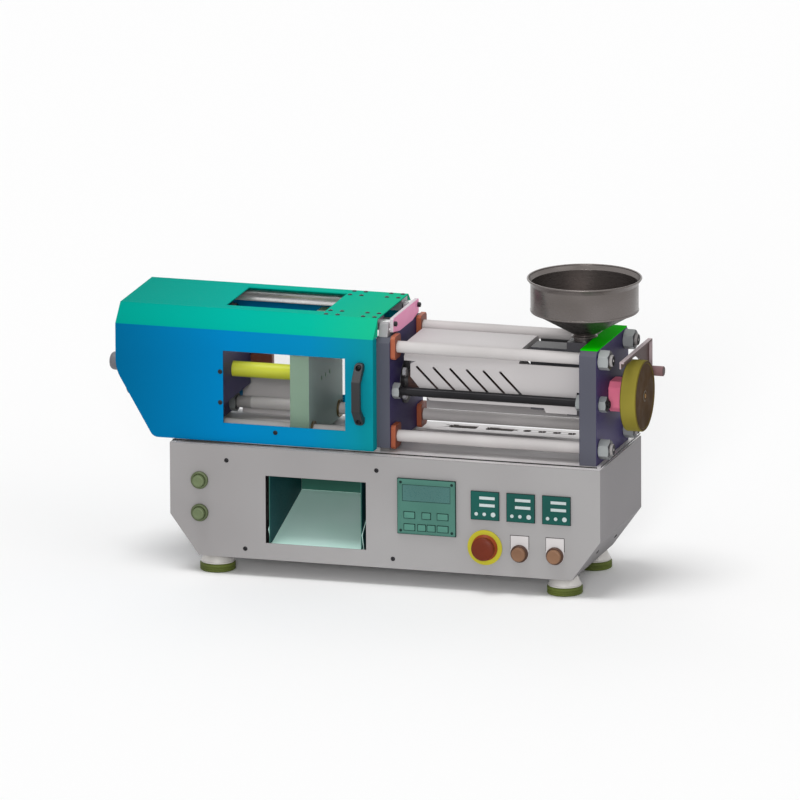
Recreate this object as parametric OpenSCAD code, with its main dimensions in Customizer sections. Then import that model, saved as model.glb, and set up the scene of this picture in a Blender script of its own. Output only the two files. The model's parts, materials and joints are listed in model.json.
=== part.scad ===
// Horizontal desktop injection moulding machine: a steel cabinet carries four
// plates on four tie bars. A cylinder drives the moving plate from the left, a
// heated barrel with a hopper feeds the fixed plate from the right, and a
// folded guard slides on two rails over the mould space.
// +X runs from the clamp end to the injection end, -Y is the operator's side.

/* [Cabinet] */
// Length of the cabinet
cabinet_l = 750; // [700:10:900]
// Width of the cabinet, front to back
cabinet_w = 250; // [250:5:300]
// Height of the cabinet, from its underside to the deck
cabinet_h = 192; // [184:4:240]
// Thickness of the cabinet's sheet
sheet_t = 2; // [1.5:0.5:3]
// Length of the sloping corner under each end
slope_l = 50; // [40:5:70]
// Height of the sloping corner under each end
slope_h = 69; // [50:1:80]
// Thickness of the steel deck
deck_t = 10; // [8:1:12]
// Width of the ledge that carries the deck
ledge_w = 10; // [8:1:12]

/* [Feet] */
// Diameter of the rubber pads
pad_d = 60; // [50:1:66]
// Height of the rubber pads
pad_h = 14; // [10:1:18]
// Height of the cones above the pads
cone_h = 17; // [12:1:24]
// Diameter of the cones under the cabinet
cone_top_d = 42; // [36:1:48]
// Distance of the feet from the cabinet's ends
foot_in_x = 72; // [64:1:90]
// Distance of the feet from the cabinet's front and back
foot_in_y = 36; // [34:1:44]

/* [Plates and tie bars] */
// Width of the four plates
platen_w = 196; // [188:2:216]
// Height of the four plates
platen_h = 188; // [184:2:210]
// Chamfer along the plates' upper edges
platen_chamfer = 8; // [4:1:12]
// Gap under the moving plate
platen_lift = 8; // [6:1:12]
// Distance of the outer plates from the cabinet's ends
plate_margin = 14; // [12:1:24]
// Diameter of the tie bars
bar_d = 20; // [16:1:24]
// Distance between the tie bars' axes, both ways
bar_pitch = 153; // [148:1:158]
// Thickness of the tail plate
tail_t = 33; // [26:1:40]
// Thickness of the moving plate
moving_t = 33; // [26:1:40]
// Thickness of the fixed plate
fixed_t = 24.5; // [22:0.5:30]
// Thickness of the end plate
end_t = 30; // [24:1:36]
// Thickness of the painted cap on the end plate
cap_t = 2; // [1:0.5:4]
// Gap between the moving and the fixed plate at rest
daylight = 116.5; // [100:0.5:140]
// Across-flats size of the tie bar nuts
bar_nut_af = 30; // [27:1:32]
// Height of the tie bar nuts
bar_nut_h = 19; // [14:1:22]

/* [Clamp cylinder] */
// Thickness of the cylinder's front head
head_t = 28; // [22:1:34]
// Height of the cylinder's front head
head_h = 98; // [90:1:106]
// Length of rod between the head and the moving plate at rest
rod_gap = 128; // [110:1:140]
// Diameter of the rod
rod_d = 26; // [20:1:32]
// Outer diameter of the cylinder tube
tube_d = 80; // [76:1:90]
// Bore of the cylinder tube
tube_bore = 63; // [50:1:66]
// Length of the tube behind the tail plate
tube_back = 109; // [100:1:130]
// Side of the square rear cap
cap_side = 92; // [88:1:100]
// Thickness of the rear cap
rear_cap_t = 18; // [12:1:24]
// Diameter of the rear cap's domed boss
boss_d = 31; // [24:1:40]
// Length of the rear cap's boss
boss_l = 28; // [20:1:36]
// Thickness of the piston
piston_t = 20; // [14:1:24]
// Distance from the piston to the tube's rear end at rest
piston_back = 65; // [62:1:70]

/* [Injection unit] */
// Outer diameter of the barrel
barrel_d = 36; // [32:1:42]
// Diameter of the screw
screw_d = 20; // [16:1:22]
// Lead of the screw's flight
screw_lead = 24; // [18:1:30]
// Diameter of the screw's drive end
shank_d = 18; // [14:1:19]
// Outer diameter of the heater bands
band_d = 46; // [44:1:54]
// Diameter of the recess in the fixed plate
recess_d = 78; // [70:1:90]
// Diameter of the pull rods
pull_d = 15; // [12:1:18]
// Distance between the pull rods' axes
pull_pitch = 150; // [144:1:156]
// Across-flats size of the pull rod nuts
pull_nut_af = 24; // [19:1:27]
// Width of the barrel cover
cover_w = 134; // [120:1:136]
// Height of the cover's bevels
cover_bevel = 22; // [14:1:28]
// Height of the cover's top above the barrel axis
cover_up = 80; // [70:1:86]
// Depth of the cover's front below the barrel axis
cover_down = 15; // [10:1:20]
// Thickness of the cover's sheet
cover_t = 1.5; // [1:0.5:2]
// Number of cooling slots in each side of the cover
slot_count = 6; // [4:1:6]
// Distance between the cooling slots
slot_pitch = 29; // [24:1:32]
// Width of the cooling slots
slot_w = 4; // [3:0.5:6]

/* [Hopper] */
// Diameter of the hopper's body
hopper_d = 181; // [150:1:190]
// How far the hopper's rim stands out
rim_out = 5; // [3:1:8]
// Height of the hopper's straight wall
hopper_wall_h = 51; // [40:1:70]
// Height of the hopper's cone
hopper_cone_h = 42; // [36:1:70]
// Outer diameter of the hopper's neck
neck_d = 36; // [30:1:38]
// Thickness of the hopper's sheet
hopper_t = 1.2; // [1:0.1:2]

/* [Screw drive] */
// Diameter of the drive disc
disc_d = 120; // [100:1:126]
// Thickness of the drive disc
disc_t = 28; // [20:1:32]
// Side of the bearing housing
housing_side = 52; // [48:1:60]
// Length of the bearing housing
housing_l = 24; // [22:1:28]
// Gap between the bearing housing and the disc
disc_gap = 5; // [4:1:8]
// Thickness of the drive bracket's sheet
bracket_t = 3; // [2:0.5:4]
// Diameter of the bracket's pin
pin_d = 17; // [12:1:20]
// Length of the bracket's pin
pin_l = 24; // [18:1:30]

/* [Sliding guard] */
// Length of the guard
guard_l = 450; // [430:5:470]
// Gap between the guard's side and the cabinet's side
guard_in = 5; // [4:1:8]
// Gap between the guard and the deck
guard_lift = 6; // [4:1:10]
// Thickness of the guard's sheet
guard_t = 2; // [1.5:0.5:3]
// Size of the guard's upper bevels
guard_bevel = 30; // [20:1:34]
// Length of the side windows
window_l = 213; // [190:1:225]
// Height of the side windows
window_h = 124.5; // [100:0.5:130]
// Length of the roof window
roof_window_l = 172; // [150:1:180]
// Width of the roof window
roof_window_w = 132; // [100:1:136]
// Thickness of the clear panes
pane_t = 3; // [2:0.5:4]
// Side of the guide rails' section
rail_side = 15; // [12:1:16]
// Distance between the guide rails' axes
rail_pitch = 140; // [130:1:150]
// Length and width of the slide blocks
block_side = 34; // [30:1:36]
// Distance between the slide blocks on one rail
block_pitch = 64.5; // [60:0.5:70]

/* [Controls] */
// Width of the operator panel
hmi_w = 100; // [96:1:104]
// Height of the operator panel
hmi_h = 94; // [90:1:98]
// Side of the temperature controllers
controller_side = 48; // [44:1:52]
// Distance between the temperature controllers
controller_pitch = 62; // [56:0.5:64]
// Diameter of the emergency stop's yellow ring
estop_ring_d = 60; // [52:1:64]
// Diameter of the emergency stop's head
estop_d = 40; // [34:1:44]
// Diameter of the push buttons' collars
collar_d = 30; // [28:1:32]
// Diameter of the start and stop buttons
button_d = 24; // [20:1:26]
// Diameter of the jog buttons
jog_d = 20; // [16:1:24]

/* [Chute] */
// Length of the chute's opening in the front
chute_l = 175.5; // [150:0.5:185]
// Height of the chute's opening
chute_h = 116.5; // [100:0.5:118]
// Thickness of the chute's sheet
chute_t = 1.5; // [1:0.5:2]

/* [Hidden] */
$fn = 64;

// Clearances: between pieces that run on each other, between a fixed piece
// and its hole, and how far a cutting tool passes a face.
run_gap = 0.05;
fit_gap = 0.1;
cut = 1;

// Heights above the floor
foot_h = pad_h + cone_h;
deck_z = foot_h + cabinet_h;
platen_z = deck_z + platen_lift;
platen_top = platen_z + platen_h;
axis_z = platen_z + platen_h / 2;

// Stations along the machine. The origin is midway between the rear cap's
// boss and the end of the bracket's pin.
tail_in = plate_margin;
left_reach = tube_back + rear_cap_t + boss_l - tail_in;
bracket_out = 42;
right_reach = cabinet_l - plate_margin + bracket_out + pin_l;
x0 = (left_reach - right_reach) / 2;
x_right = x0 + cabinet_l;
tail_x = x0 + tail_in;
head_x = tail_x + tail_t;
rod_x = head_x + head_t;
moving_x = rod_x + rod_gap;
mould_x = moving_x + moving_t;
fixed_x = mould_x + daylight;
fixed_right = fixed_x + fixed_t;
end_right = x_right - plate_margin;
end_x = end_right - end_t;
tube_x = tail_x - tube_back;
housing_right = end_right + housing_l;
disc_x = housing_right + disc_gap;
disc_right = disc_x + disc_t;
bracket_right = end_right + bracket_out;

// Faces front and back
front_y = -cabinet_w / 2;
back_y = cabinet_w / 2;
bar_at = bar_pitch / 2;
pull_at = pull_pitch / 2;
CORNERS = [for (y = [-1, 1], z = [-1, 1]) [y, z]];

// ---- shared shapes ----

// Round bar along X
module x_bar(d, x1, x2, y = 0, z = axis_z)
    translate([x1, y, z]) rotate([0, 90, 0]) cylinder(h = x2 - x1, d = d);

// Round bar along Y
module y_bar(d, y1, y2, x, z)
    translate([x, y1, z]) rotate([-90, 0, 0]) cylinder(h = y2 - y1, d = d);

// Round bar along Z
module z_bar(d, z1, z2, x, y)
    translate([x, y, z1]) cylinder(h = z2 - z1, d = d);

// Block between two corners
module block(low, high)
    translate(low) cube(high - low);

// Hexagon along X, standing on a corner
module x_hex(af, x1, x2, y, z)
    translate([x1, y, z]) rotate([0, 90, 0])
        cylinder(h = x2 - x1, d = af / cos(30), $fn = 6);

// Section in Y and Z, extruded along X
module along_x(x1, x2)
    translate([x1, 0, 0]) rotate([90, 0, 90])
        linear_extrude(x2 - x1) children();

// Section in X and Z, extruded along Y
module along_y(y1, y2)
    translate([0, y2, 0]) rotate([90, 0, 0])
        linear_extrude(y2 - y1) children();

// Profile of radius and place, turned about the machine's axis from x
module turned_x(x)
    translate([x, 0, axis_z]) rotate([0, 90, 0]) rotate_extrude() children();

// Rectangle in X and Z with round corners, extruded along Y
module soft_plate(x1, x2, z1, z2, y1, y2, r) {
    block([x1 + r, y1, z1], [x2 - r, y2, z2]);
    block([x1, y1, z1 + r], [x2, y2, z2 - r]);
    for (x = [x1 + r, x2 - r], z = [z1 + r, z2 - r])
        y_bar(2 * r, y1, y2, x, z);
}

// Rectangle about the origin with chamfered corners
module chamfered(w, h, c)
    polygon([[-w / 2, -h / 2 + c], [-w / 2 + c, -h / 2],
        [w / 2 - c, -h / 2], [w / 2, -h / 2 + c], [w / 2, h / 2 - c],
        [w / 2 - c, h / 2], [-w / 2 + c, h / 2], [-w / 2, h / 2 - c]]);

// Block across the machine with chamfered upper edges
module plate_blank(x1, x2, z1, z2, w, c)
    along_x(x1, x2)
        polygon([[-w / 2, z1], [w / 2, z1], [w / 2, z2 - c], [w / 2 - c, z2],
            [-w / 2 + c, z2], [-w / 2, z2 - c]]);

// Something at each of the four tie bars
module at_bars()
    for (c = CORNERS)
        translate([0, c[0] * bar_at, axis_z + c[1] * bar_at]) children();

// Bar holes through a plate
module bar_holes(x1, x2, d)
    at_bars() x_bar(d, x1 - cut, x2 + cut, 0, 0);

// ---- cabinet ----

// Outline of the cabinet's side, inset by t
module cabinet_outline(t, top) {
    rise = slope_h / slope_l;
    slant = sqrt(1 + rise * rise);
    knee_z = foot_h + slope_h + t * (slant - rise);
    toe_x = (slope_h + t * (slant - 1)) / rise;
    polygon([[x0 + t, top], [x0 + t, knee_z], [x0 + toe_x, foot_h + t],
        [x_right - toe_x, foot_h + t], [x_right - t, knee_z],
        [x_right - t, top]]);
}

// Controls on the front, from the right-hand end of the cabinet
hmi_x = x_right - 351;
hmi_z = deck_z - 129;
controller_x = x_right - 223.5;
controller_z = deck_z - 96.5;
estop_at = [x_right - 200.3, foot_h + 47.4];
start_at = [x_right - 140, foot_h + 41];
stop_at = [x_right - 78.5, foot_h + 41];
jog_at = [[x0 + 52, foot_h + 130], [x0 + 52, foot_h + 74]];
thread_d = 22;

// Chute opening, under the mould space
chute_x = mould_x - 69;
chute_z = foot_h + 28.5;

// Places of the four screws in the front sheet
front_screws = [[x0 + 99, deck_z - 25], [x0 + 361, deck_z - 25],
    [x0 + 131, foot_h + 16.5], [x0 + 389, foot_h + 16.5]];

// Back cover
back_x = [x0 + 95, x_right - 95];
back_z = [foot_h + 26, deck_z - 22];
back_lap = 12;
gland_at = [x_right - 45, foot_h + 110];
gland_d = 20;
cab_screw_d = 6;
stud_d = 10;
slope_screw_y = 55;

// Something on the outside of each sloping corner, pointing outwards
module at_slopes()
    for (side = [0, 1], y = [-slope_screw_y, slope_screw_y])
        translate([x0 + cabinet_l / 2, y, 0]) mirror([side, 0, 0])
            translate([(cabinet_l - slope_l) / 2, 0, foot_h + slope_h / 2])
                rotate([0, 90 + atan(slope_l / slope_h), 0]) children();

function foot_places() =
    [for (x = [x0 + foot_in_x, x_right - foot_in_x],
          y = [front_y + foot_in_y, back_y - foot_in_y]) [x, y]];

module cabinet_shell() color("silver") {
    difference() {
        along_y(front_y, back_y) cabinet_outline(0, deck_z);
        along_y(front_y + sheet_t, back_y - sheet_t)
            cabinet_outline(sheet_t, deck_z + cut);
        block([chute_x, front_y - cut, chute_z],
            [chute_x + chute_l, front_y + sheet_t + cut, chute_z + chute_h]);
        block([hmi_x + 6, front_y - cut, hmi_z + 6],
            [hmi_x + hmi_w - 6, front_y + sheet_t + cut, hmi_z + hmi_h - 6]);
        for (i = [0:2])
            block([controller_x + i * controller_pitch + 1.5, front_y - cut,
                    controller_z + 1.5],
                [controller_x + i * controller_pitch + controller_side - 1.5,
                    front_y + sheet_t + cut,
                    controller_z + controller_side - 1.5]);
        for (p = concat([estop_at, start_at, stop_at], jog_at))
            y_bar(thread_d + 2 * fit_gap, front_y - cut,
                front_y + sheet_t + cut, p[0], p[1]);
        for (p = front_screws)
            y_bar(cab_screw_d, front_y - cut, front_y + sheet_t + cut,
                p[0], p[1]);
        block([back_x[0], back_y - sheet_t - cut, back_z[0]],
            [back_x[1], back_y + cut, back_z[1]]);
        y_bar(gland_d + 2 * fit_gap, back_y - sheet_t - cut, back_y + cut,
            gland_at[0], gland_at[1]);
        at_slopes()
            translate([0, 0, -sheet_t - cut])
                cylinder(h = sheet_t + 2 * cut, d = cab_screw_d);
        for (p = foot_places())
            z_bar(stud_d + 2 * fit_gap, foot_h - cut, foot_h + sheet_t + cut,
                p[0], p[1]);
    }
    deck_ledge();
}

// Ledge inside the walls, under the deck
module deck_ledge()
    difference() {
        block([x0 + sheet_t, front_y + sheet_t, deck_z - deck_t - sheet_t],
            [x_right - sheet_t, back_y - sheet_t, deck_z - deck_t]);
        block([x0 + sheet_t + ledge_w, front_y + sheet_t + ledge_w,
                deck_z - deck_t - sheet_t - cut],
            [x_right - sheet_t - ledge_w, back_y - sheet_t - ledge_w,
                deck_z - deck_t + cut]);
    }

// Opening in the deck through which mouldings drop
drop_x = [mould_x + 9, mould_x + daylight - 20];
drop_w = 90;

// Slotted strip along the back of the deck
strip_y = [66, 116];
strip_t = 3;
strip_hole_y = 95;
deck_slot_l = 48;
deck_slot_w = 9;
deck_hole_d = 14;
deck_slot_x = [fixed_right + 72, fixed_right + 136];
deck_hole_x = [for (i = [0:3]) fixed_right + 183 + 26 * i];

module deck_plate() color("gainsboro")
    difference() {
        union() {
            block([x0 + sheet_t + fit_gap, front_y + sheet_t + fit_gap,
                    deck_z - deck_t],
                [x_right - sheet_t - fit_gap, back_y - sheet_t - fit_gap,
                    deck_z]);
            for (x = [[tail_x, tail_t], [fixed_x, fixed_t]])
                block([x[0] + 5, -platen_w / 2 + 8, deck_z],
                    [x[0] + x[1] - 5, platen_w / 2 - 8, platen_z]);
            block([fixed_right + 12, strip_y[0], deck_z],
                [end_x - 12, strip_y[1], deck_z + strip_t]);
        }
        block([drop_x[0], -drop_w / 2, deck_z - deck_t - cut],
            [drop_x[1], drop_w / 2, deck_z + cut]);
        for (x = deck_slot_x) {
            block([x - deck_slot_l / 2 + deck_slot_w / 2,
                    strip_hole_y - deck_slot_w / 2, deck_z - deck_t - cut],
                [x + deck_slot_l / 2 - deck_slot_w / 2,
                    strip_hole_y + deck_slot_w / 2, deck_z + strip_t + cut]);
            for (side = [-1, 1])
                z_bar(deck_slot_w, deck_z - deck_t - cut,
                    deck_z + strip_t + cut,
                    x + side * (deck_slot_l - deck_slot_w) / 2, strip_hole_y);
        }
        for (x = deck_hole_x)
            z_bar(deck_hole_d, deck_z - deck_t - cut, deck_z + strip_t + cut,
                x, strip_hole_y);
    }

// Places of the back cover's screws
back_screws = [for (x = [back_x[0] - back_lap / 2,
                (back_x[0] + back_x[1]) / 2, back_x[1] + back_lap / 2],
            z = [back_z[0] - back_lap / 2, back_z[1] + back_lap / 2]) [x, z]];
louvre_l = 70;
louvre_h = 4;
louvre_rows = 5;
louvre_pitch = 12;

module back_panel() color("silver")
    difference() {
        soft_plate(back_x[0] - back_lap, back_x[1] + back_lap,
            back_z[0] - back_lap, back_z[1] + back_lap,
            back_y, back_y + sheet_t, 6);
        for (p = back_screws)
            y_bar(4, back_y - cut, back_y + sheet_t + cut, p[0], p[1]);
        for (x = [back_x[0] + 40, back_x[1] - 40 - louvre_l],
             i = [0:louvre_rows - 1])
            soft_plate(x, x + louvre_l, back_z[0] + 40 + i * louvre_pitch,
                back_z[0] + 40 + i * louvre_pitch + louvre_h,
                back_y - cut, back_y + sheet_t + cut, louvre_h / 2 - 0.01);
    }

module cabinet_screws() color("black") {
    for (p = front_screws) {
        y_bar(cab_screw_d + 2, front_y - 1.2, front_y, p[0], p[1]);
        y_bar(cab_screw_d - 2 * fit_gap, front_y, front_y + sheet_t + 6,
            p[0], p[1]);
    }
    for (p = back_screws) {
        y_bar(8, back_y + sheet_t, back_y + sheet_t + 2, p[0], p[1]);
        y_bar(4, back_y, back_y + sheet_t, p[0], p[1]);
    }
    at_slopes() {
        cylinder(h = 1.2, d = cab_screw_d + 2);
        translate([0, 0, -8]) cylinder(h = 8, d = cab_screw_d - 2 * fit_gap);
    }
}

// ---- feet ----

module foot_cones() color("whitesmoke")
    for (p = foot_places())
        translate([p[0], p[1], 0]) {
            translate([0, 0, pad_h])
                cylinder(h = cone_h, d1 = pad_d - 3, d2 = cone_top_d);
            z_bar(stud_d, foot_h, foot_h + sheet_t + 10, 0, 0);
            translate([0, 0, foot_h + sheet_t])
                cylinder(h = 7, d = 17 / cos(30), $fn = 6);
        }

module foot_pads() color("darkolivegreen")
    for (p = foot_places())
        translate([p[0], p[1], 0])
            rotate_extrude()
                polygon([[0, 0], [pad_d / 2 - 1.5, 0], [pad_d / 2, 1.5],
                    [pad_d / 2, pad_h - 1.5], [pad_d / 2 - 1.5, pad_h],
                    [0, pad_h]]);

// ---- chute ----

// The chute's section: a lip behind the front sheet, a ramp that rises to the
// back wall under the drop opening, and side plates cut off on a slant.
lip_y = front_y + sheet_t;
ramp_y = front_y + 12;
ramp_z = chute_z - 2.5;
ramp_back_y = drop_w / 2 + 20;
ramp_back_z = ramp_z + 50;
chute_top = deck_z - deck_t;
chute_right = chute_x + chute_l - 7;
chute_left = chute_x + 4;

module chute_side(x)
    along_x(x, x + chute_t)
        polygon([[ramp_y, ramp_z], [lip_y, ramp_z + 27],
            [drop_w / 2 - 20, chute_top - 13], [ramp_back_y, chute_top - 13],
            [ramp_back_y, ramp_back_z]]);

module chute_tray() color("mediumaquamarine") {
    chute_side(chute_left);
    chute_side(chute_right - chute_t);
    along_x(chute_left, chute_right)
        polygon([[ramp_y, ramp_z], [ramp_y, ramp_z - chute_t],
            [ramp_back_y, ramp_back_z - chute_t],
            [ramp_back_y, ramp_back_z]]);
    block([chute_left, ramp_back_y - chute_t, ramp_back_z - chute_t],
        [chute_right, ramp_back_y, chute_top]);
    block([chute_left, ramp_back_y, chute_top - chute_t],
        [chute_right, ramp_back_y + 12, chute_top]);
}

// ---- operator's controls ----

hmi_out = 5;
hmi_key_h = 10;
// Keys as left edge, width and lower edge from the panel's lower left corner
hmi_key_boxes = [[11.5, 18, 27.5], [43, 14, 27.5], [69.5, 18, 27.5],
    [11.5, 18, 6.5], [35.5, 13, 6.5], [52, 13, 6.5], [69.5, 18, 6.5]];

module hmi_bezel() color("cadetblue")
    difference() {
        union() {
            soft_plate(hmi_x, hmi_x + hmi_w, hmi_z, hmi_z + hmi_h,
                front_y - hmi_out, front_y, 2);
            block([hmi_x + 6 + fit_gap, front_y, hmi_z + 6 + fit_gap],
                [hmi_x + hmi_w - 6 - fit_gap, front_y + 32,
                    hmi_z + hmi_h - 6 - fit_gap]);
        }
        block([hmi_x + 8, front_y - hmi_out - cut, hmi_z + hmi_h - 38],
            [hmi_x + hmi_w - 8, front_y - hmi_out + 1.5, hmi_z + hmi_h - 9]);
        for (k = hmi_key_boxes)
            block([hmi_x + k[0] - 1.5, front_y - hmi_out - cut,
                    hmi_z + k[2] - 1.5],
                [hmi_x + k[0] + k[1] + 1.5, front_y - hmi_out + 1,
                    hmi_z + k[2] + hmi_key_h + 1.5]);
    }

module hmi_display() color("teal")
    block([hmi_x + 8, front_y - hmi_out + 0.5, hmi_z + hmi_h - 38],
        [hmi_x + hmi_w - 8, front_y - hmi_out + 1.5, hmi_z + hmi_h - 9]);

module hmi_keys() color("darkseagreen")
    for (k = hmi_key_boxes)
        soft_plate(hmi_x + k[0], hmi_x + k[0] + k[1], hmi_z + k[2],
            hmi_z + k[2] + hmi_key_h, front_y - hmi_out - 0.8,
            front_y - hmi_out + 1, 1.2);

controller_out = 3;

module temperature_controllers() color("darkslategray")
    for (i = [0:2])
        translate([controller_x + i * controller_pitch, 0, controller_z]) {
            soft_plate(0, controller_side, 0, controller_side,
                front_y - controller_out, front_y, 1.5);
            block([1.5 + fit_gap, front_y, 1.5 + fit_gap],
                [controller_side - 1.5 - fit_gap, front_y + 60,
                    controller_side - 1.5 - fit_gap]);
        }

// Two read-outs and three key marks on each controller, as shares of its face
readout_h = 5;
module controller_displays() color("white")
    for (i = [0:2])
        translate([controller_x + i * controller_pitch, 0, controller_z]) {
            for (z = [0.78, 0.52])
                block([controller_side * 0.3, front_y - controller_out - 0.4,
                        controller_side * z - readout_h / 2],
                    [controller_side * 0.86, front_y - controller_out,
                        controller_side * z + readout_h / 2]);
            for (m = [[0.19, 6], [0.48, 6], [0.8, 8]])
                y_bar(m[1], front_y - controller_out - 0.8,
                    front_y - controller_out, controller_side * m[0],
                    controller_side * 0.2);
        }

estop_ring_t = 2;
estop_collar_h = 4;
estop_travel = 4;
estop_head_h = 9;
estop_stem_d = 14;
thread_back = 28;

module estop_ring() color("gold")
    difference() {
        union() {
            y_bar(estop_ring_d, front_y - estop_ring_t, front_y,
                estop_at[0], estop_at[1]);
            translate([estop_at[0], front_y - estop_ring_t, estop_at[1]])
                rotate([90, 0, 0])
                    cylinder(h = estop_collar_h, d1 = estop_d + 4,
                        d2 = estop_d - 4);
            y_bar(thread_d, front_y, front_y + thread_back, estop_at[0],
                estop_at[1]);
        }
        y_bar(estop_stem_d + 2 * run_gap, front_y - estop_ring_t -
            estop_collar_h - cut, front_y + thread_back + cut, estop_at[0],
            estop_at[1]);
    }

module estop_mushroom() color("firebrick") {
    base_y = front_y - estop_ring_t - estop_collar_h - estop_travel - 0.5;
    r = estop_d / 2;
    translate([estop_at[0], base_y, estop_at[1]]) rotate([90, 0, 0])
        rotate_extrude()
            polygon(concat([[0, 0], [r - 1.5, 0], [r, 1.5]],
                [for (a = [0:15:90])
                    [r - 5 + 5 * cos(a), estop_head_h - 5 + 5 * sin(a)]],
                [[0, estop_head_h]]));
    y_bar(estop_stem_d, base_y - 1, front_y + 15, estop_at[0], estop_at[1]);
}

legend_w = 31;
legend_up = 30;
legend_t = 1;

module legend_plates() color("lightgray")
    for (p = [start_at, stop_at])
        difference() {
            union() {
                block([p[0] - legend_w / 2, front_y - legend_t, p[1]],
                    [p[0] + legend_w / 2, front_y, p[1] + legend_up]);
                y_bar(legend_w, front_y - legend_t, front_y, p[0], p[1]);
            }
            y_bar(thread_d + 2 * fit_gap, front_y - legend_t - cut,
                front_y + cut, p[0], p[1]);
        }

collar_h = 5;
button_out = 7;

// Threaded collar of a push button, bored for a cap of diameter d
module button_collar(p, back, d)
    difference() {
        union() {
            translate([p[0], back, p[1]]) rotate([90, 0, 0])
                rotate_extrude()
                    polygon([[0, 0], [collar_d / 2, 0],
                        [collar_d / 2, collar_h - 2],
                        [collar_d / 2 - 2, collar_h], [0, collar_h]]);
            y_bar(thread_d, back - 1, front_y + thread_back, p[0], p[1]);
        }
        y_bar(min(d, thread_d - 4) + 2 * run_gap, back - collar_h - cut,
            front_y + thread_back + cut, p[0], p[1]);
        y_bar(d + 2 * run_gap, back - collar_h - cut, back - collar_h + 4,
            p[0], p[1]);
    }

// Cap of diameter d, standing out of its collar by button_out
module button_cap(p, back, d) {
    face = back - collar_h - button_out;
    translate([p[0], face + button_out + 0.5, p[1]]) rotate([90, 0, 0])
        rotate_extrude()
            polygon([[0, 0], [d / 2, 0], [d / 2, button_out - 1],
                [d / 2 - 1, button_out + 0.5], [0, button_out + 0.5]]);
    y_bar(min(d, thread_d - 4), face + button_out, front_y + 18, p[0], p[1]);
}

module switch_collars() color("rosybrown")
    for (p = [start_at, stop_at])
        button_collar(p, front_y - legend_t, button_d);

module jog_collars() color("darkseagreen")
    for (p = jog_at)
        button_collar(p, front_y, jog_d);

module start_button() color("peru")
    button_cap(start_at, front_y - legend_t, button_d);

module stop_button() color("peru")
    button_cap(stop_at, front_y - legend_t, button_d);

module jog_button_upper() color("darkkhaki")
    button_cap(jog_at[0], front_y, jog_d);

module jog_button_lower() color("darkkhaki")
    button_cap(jog_at[1], front_y, jog_d);

// Cable gland in the back wall: flange, hexagon, dome and inner locknut
gland_out = 24;
gland_cable_d = 9;

module cable_gland() color("black")
    difference() {
        union() {
            y_bar(gland_d, back_y - 12, back_y, gland_at[0], gland_at[1]);
            translate([gland_at[0], back_y, gland_at[1]]) rotate([-90, 0, 0])
                rotate_extrude()
                    polygon([[0, 0], [14, 0], [14, 3], [12.5, 5],
                        [12.5, gland_out - 8], [8, gland_out],
                        [0, gland_out]]);
            for (y = [[back_y + 5, 7], [back_y - sheet_t - 5, 5]])
                translate([gland_at[0], y[0], gland_at[1]])
                    rotate([-90, 0, 0])
                        cylinder(h = y[1], d = 27 / cos(30), $fn = 6);
        }
        y_bar(gland_cable_d, back_y - 12 - cut, back_y + gland_out + cut,
            gland_at[0], gland_at[1]);
    }

// ---- clamp unit ----

cylinder_rod_at = 37;
tie_rod_d = 8;

module tail_platen() color("slateblue")
    difference() {
        plate_blank(tail_x, head_x, platen_z, platen_top, platen_w,
            platen_chamfer);
        bar_holes(tail_x, head_x, bar_d + 2 * fit_gap);
        x_bar(tube_d, tail_x - cut, head_x + cut);
        for (c = CORNERS)
            x_bar(tie_rod_d, tail_x - cut, tail_x + 10,
                c[0] * cylinder_rod_at, axis_z + c[1] * cylinder_rod_at);
    }

module cylinder_head() color("slateblue")
    difference() {
        block([head_x, -platen_w / 2, axis_z - head_h / 2],
            [rod_x, platen_w / 2, axis_z + head_h / 2]);
        x_bar(rod_d + 2 * run_gap, head_x - cut, rod_x + cut);
    }

module cylinder_tube() color("lightsteelblue")
    difference() {
        x_bar(tube_d, tube_x, head_x);
        x_bar(tube_bore, tube_x - cut, head_x + cut);
    }

module cylinder_rear_cap() color("dimgray")
    difference() {
        union() {
            block([tube_x - rear_cap_t, -cap_side / 2, axis_z - cap_side / 2],
                [tube_x, cap_side / 2, axis_z + cap_side / 2]);
            translate([tube_x - rear_cap_t, 0, axis_z]) rotate([0, -90, 0])
                rotate_extrude()
                    polygon(concat([[0, -cut], [boss_d / 2, -cut]],
                        [for (a = [0:15:75])
                            [boss_d / 2 - 8 + 8 * cos(a),
                                boss_l - 8 + 8 * sin(a)]],
                        [[0, boss_l]]));
        }
        for (c = CORNERS)
            x_bar(tie_rod_d + 2 * fit_gap, tube_x - rear_cap_t - cut,
                tube_x + cut, c[0] * cylinder_rod_at,
                axis_z + c[1] * cylinder_rod_at);
    }

module cylinder_tie_rods() color("lightgray")
    for (c = CORNERS) {
        y = c[0] * cylinder_rod_at;
        z = axis_z + c[1] * cylinder_rod_at;
        x_bar(tie_rod_d, tube_x - rear_cap_t - 9, tail_x + 10, y, z);
        x_hex(13, tube_x - rear_cap_t - 6, tube_x - rear_cap_t, y, z);
    }

spigot_d = 16;
spigot_l = 12;

module clamp_rod() color("yellowgreen") {
    x_bar(rod_d, tube_x + piston_back + piston_t - cut, moving_x);
    x_bar(tube_bore - 2 * run_gap, tube_x + piston_back,
        tube_x + piston_back + piston_t);
    x_bar(spigot_d, moving_x - cut, moving_x + spigot_l);
}

bush_d = bar_d + 6;
bush_flange_d = bar_d + 10;
bush_flange_t = 3;
ejector_d = 8;
ejector_pitch = 24;

module moving_platen() color("darkseagreen")
    difference() {
        plate_blank(moving_x, mould_x, platen_z, platen_top, platen_w,
            platen_chamfer);
        bar_holes(moving_x, mould_x, bush_d);
        x_bar(spigot_d, moving_x - cut, moving_x + spigot_l);
        for (i = [-1:1])
            x_bar(ejector_d, mould_x - 16, mould_x + cut, i * ejector_pitch);
    }

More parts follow.
